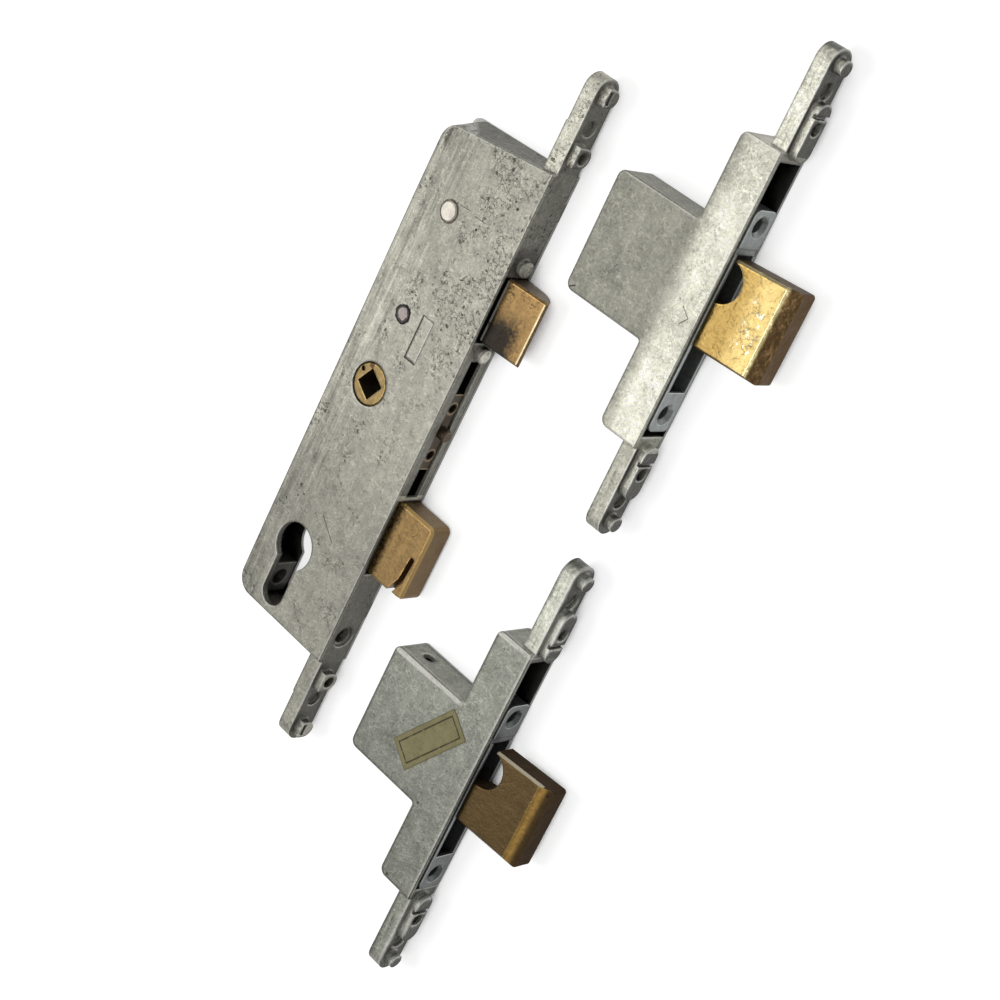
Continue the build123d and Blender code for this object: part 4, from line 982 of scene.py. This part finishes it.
class LOCK_OT_label(bpy.types.Operator):
    """Lay the paper label on the lower hook case, a flat grid with ripples made of two sines"""
    bl_idname = "lock.label"
    bl_label = "Paper label"

    def execute(self, context):
        settings = context.scene.lock_label
        centre = (-0.0211, 0.0531)
        slope = radians(56.0)
        paper = 0.00008
        glue = 0.00004
        ripple_height = 0.00002
        u, v = np.meshgrid(np.linspace(0.0, 1.0, 61), np.linspace(0.0, 1.0, 25), indexing="ij")
        along = (u - 0.5) * settings.width
        across = (v - 0.5) * settings.height
        x = centre[0] + along * cos(slope) - across * sin(slope)
        y = centre[1] + along * sin(slope) + across * cos(slope)
        ripple = ripple_height * (1.0 + np.sin(u * 23.0) * np.sin(v * 9.0 + u * 5.0))
        points = on_lower_case(np.stack([x, y, CASE_DEPTH + glue + ripple], -1))
        piece = surface("paper_label", points, "cases", label_paper(settings), maps=np.stack([u, v], -1))
        solid = piece.modifiers.new("paper", "SOLIDIFY")
        solid.thickness = paper
        solid.offset = -1.0
        return {"FINISHED"}


class LOCK_OT_stage(bpy.types.Operator):
    """Make the floor, the lamps, the even light and the camera"""
    bl_idname = "lock.stage"
    bl_label = "Stage"

    def execute(self, context):
        stage = context.scene.lock_stage
        half = stage.floor_size / 2
        low = -0.0002
        mesh = bpy.data.meshes.new("floor")
        mesh.from_pydata([(-half, -half, low), (half, -half, low), (half, half, low), (-half, half, low)],
                         [], [(0, 1, 2, 3)])
        mesh.materials.append(stage_white())
        floor = bpy.data.objects.new("floor", mesh)
        context.scene.collection.objects.link(floor)
        self.lamp("key_lamp", (-0.645, -0.31, 1.3), 0.8, stage.key_power, stage)
        self.lamp("fill_lamp", (1.3, -0.5, 0.8), 0.8, stage.fill_power, stage)
        self.lamp("wall_lamp", (-0.1, 1.4, 0.5), 0.9, stage.wall_power, stage)
        self.sky(stage)
        self.camera(context, stage)
        return {"FINISHED"}

    def lamp(self, name, place, size, power, stage):
        """Square lamp that looks at the stage's aim."""
        light = bpy.data.lights.new(name, "AREA")
        light.size = size
        light.energy = power
        lamp = bpy.data.objects.new(name, light)
        lamp.location = place
        lamp.rotation_euler = (Vector(stage.aim) - Vector(place)).to_track_quat("-Z", "Y").to_euler()
        bpy.context.scene.collection.objects.link(lamp)

    def sky(self, stage):
        """Even light for the object, and white where the camera or a reflection looks past it."""
        world = bpy.data.worlds.new("sky")
        world.use_nodes = True
        nodes = world.node_tree.nodes
        links = world.node_tree.links
        nodes.clear()
        even = nodes.new("ShaderNodeBackground")
        even.inputs["Color"].default_value = (1.0, 1.0, 1.0, 1.0)
        even.inputs["Strength"].default_value = stage.sky
        white = nodes.new("ShaderNodeBackground")
        white.inputs["Color"].default_value = (1.0, 1.0, 1.0, 1.0)
        rays = nodes.new("ShaderNodeLightPath")
        pick = nodes.new("ShaderNodeMixShader")
        output = nodes.new("ShaderNodeOutputWorld")
        links.new(rays.outputs["Is Camera Ray"], pick.inputs[0])
        links.new(even.outputs[0], pick.inputs[1])
        links.new(white.outputs[0], pick.inputs[2])
        links.new(pick.outputs[0], output.inputs["Surface"])
        bpy.context.scene.world = world

    def camera(self, context, stage):
        """Camera at a distance from its aim, rolled about its view."""
        away = Vector((cos(stage.elevation) * cos(stage.azimuth), cos(stage.elevation) * sin(stage.azimuth),
                       sin(stage.elevation)))
        place = Vector(stage.aim) + stage.distance * away
        level = (-away).to_track_quat("-Z", "Y").to_matrix().to_4x4()
        data = bpy.data.cameras.new("camera")
        data.lens = stage.lens
        data.sensor_width = 36.0
        camera = bpy.data.objects.new("camera", data)
        camera.matrix_world = Matrix.Translation(place) @ level @ Matrix.Rotation(stage.roll, 4, "Z")
        context.scene.collection.objects.link(camera)
        context.scene.camera = camera
        context.scene.view_settings.view_transform = "Standard"


class LOCK_PT_panel(bpy.types.Panel):
    """Buttons for the looks of the lock set"""
    bl_label = "Lock set"
    bl_idname = "LOCK_PT_panel"
    bl_space_type = "VIEW_3D"
    bl_region_type = "UI"
    bl_category = "Lock set"

    def draw(self, context):
        for operator in OPERATORS:
            self.layout.operator(operator.bl_idname)


SETTINGS = {"lock_zinc": LockZincSettings, "lock_brass": LockBrassSettings,
            "lock_steel": LockSteelSettings, "lock_spring": LockSpringSettings,
            "lock_label": LockLabelSettings, "lock_stage": LockStageSettings}
OPERATORS = (LOCK_OT_stage, LOCK_OT_zinc, LOCK_OT_brass, LOCK_OT_steel, LOCK_OT_spring, LOCK_OT_label)


def register():
    for name, settings in SETTINGS.items():
        bpy.utils.register_class(settings)
        setattr(bpy.types.Scene, name, PointerProperty(type=settings))
    for operator in OPERATORS:
        bpy.utils.register_class(operator)
    bpy.utils.register_class(LOCK_PT_panel)


def unregister():
    bpy.utils.unregister_class(LOCK_PT_panel)
    for operator in reversed(OPERATORS):
        bpy.utils.unregister_class(operator)
    for name, settings in SETTINGS.items():
        delattr(bpy.types.Scene, name)
        bpy.utils.unregister_class(settings)


def main():
    """Register the add-on and run its operators in order."""
    register()
    for operator in OPERATORS:
        group, call = operator.bl_idname.split(".")
        getattr(getattr(bpy.ops, group), call)()


if __name__ == "__main__":
    main()
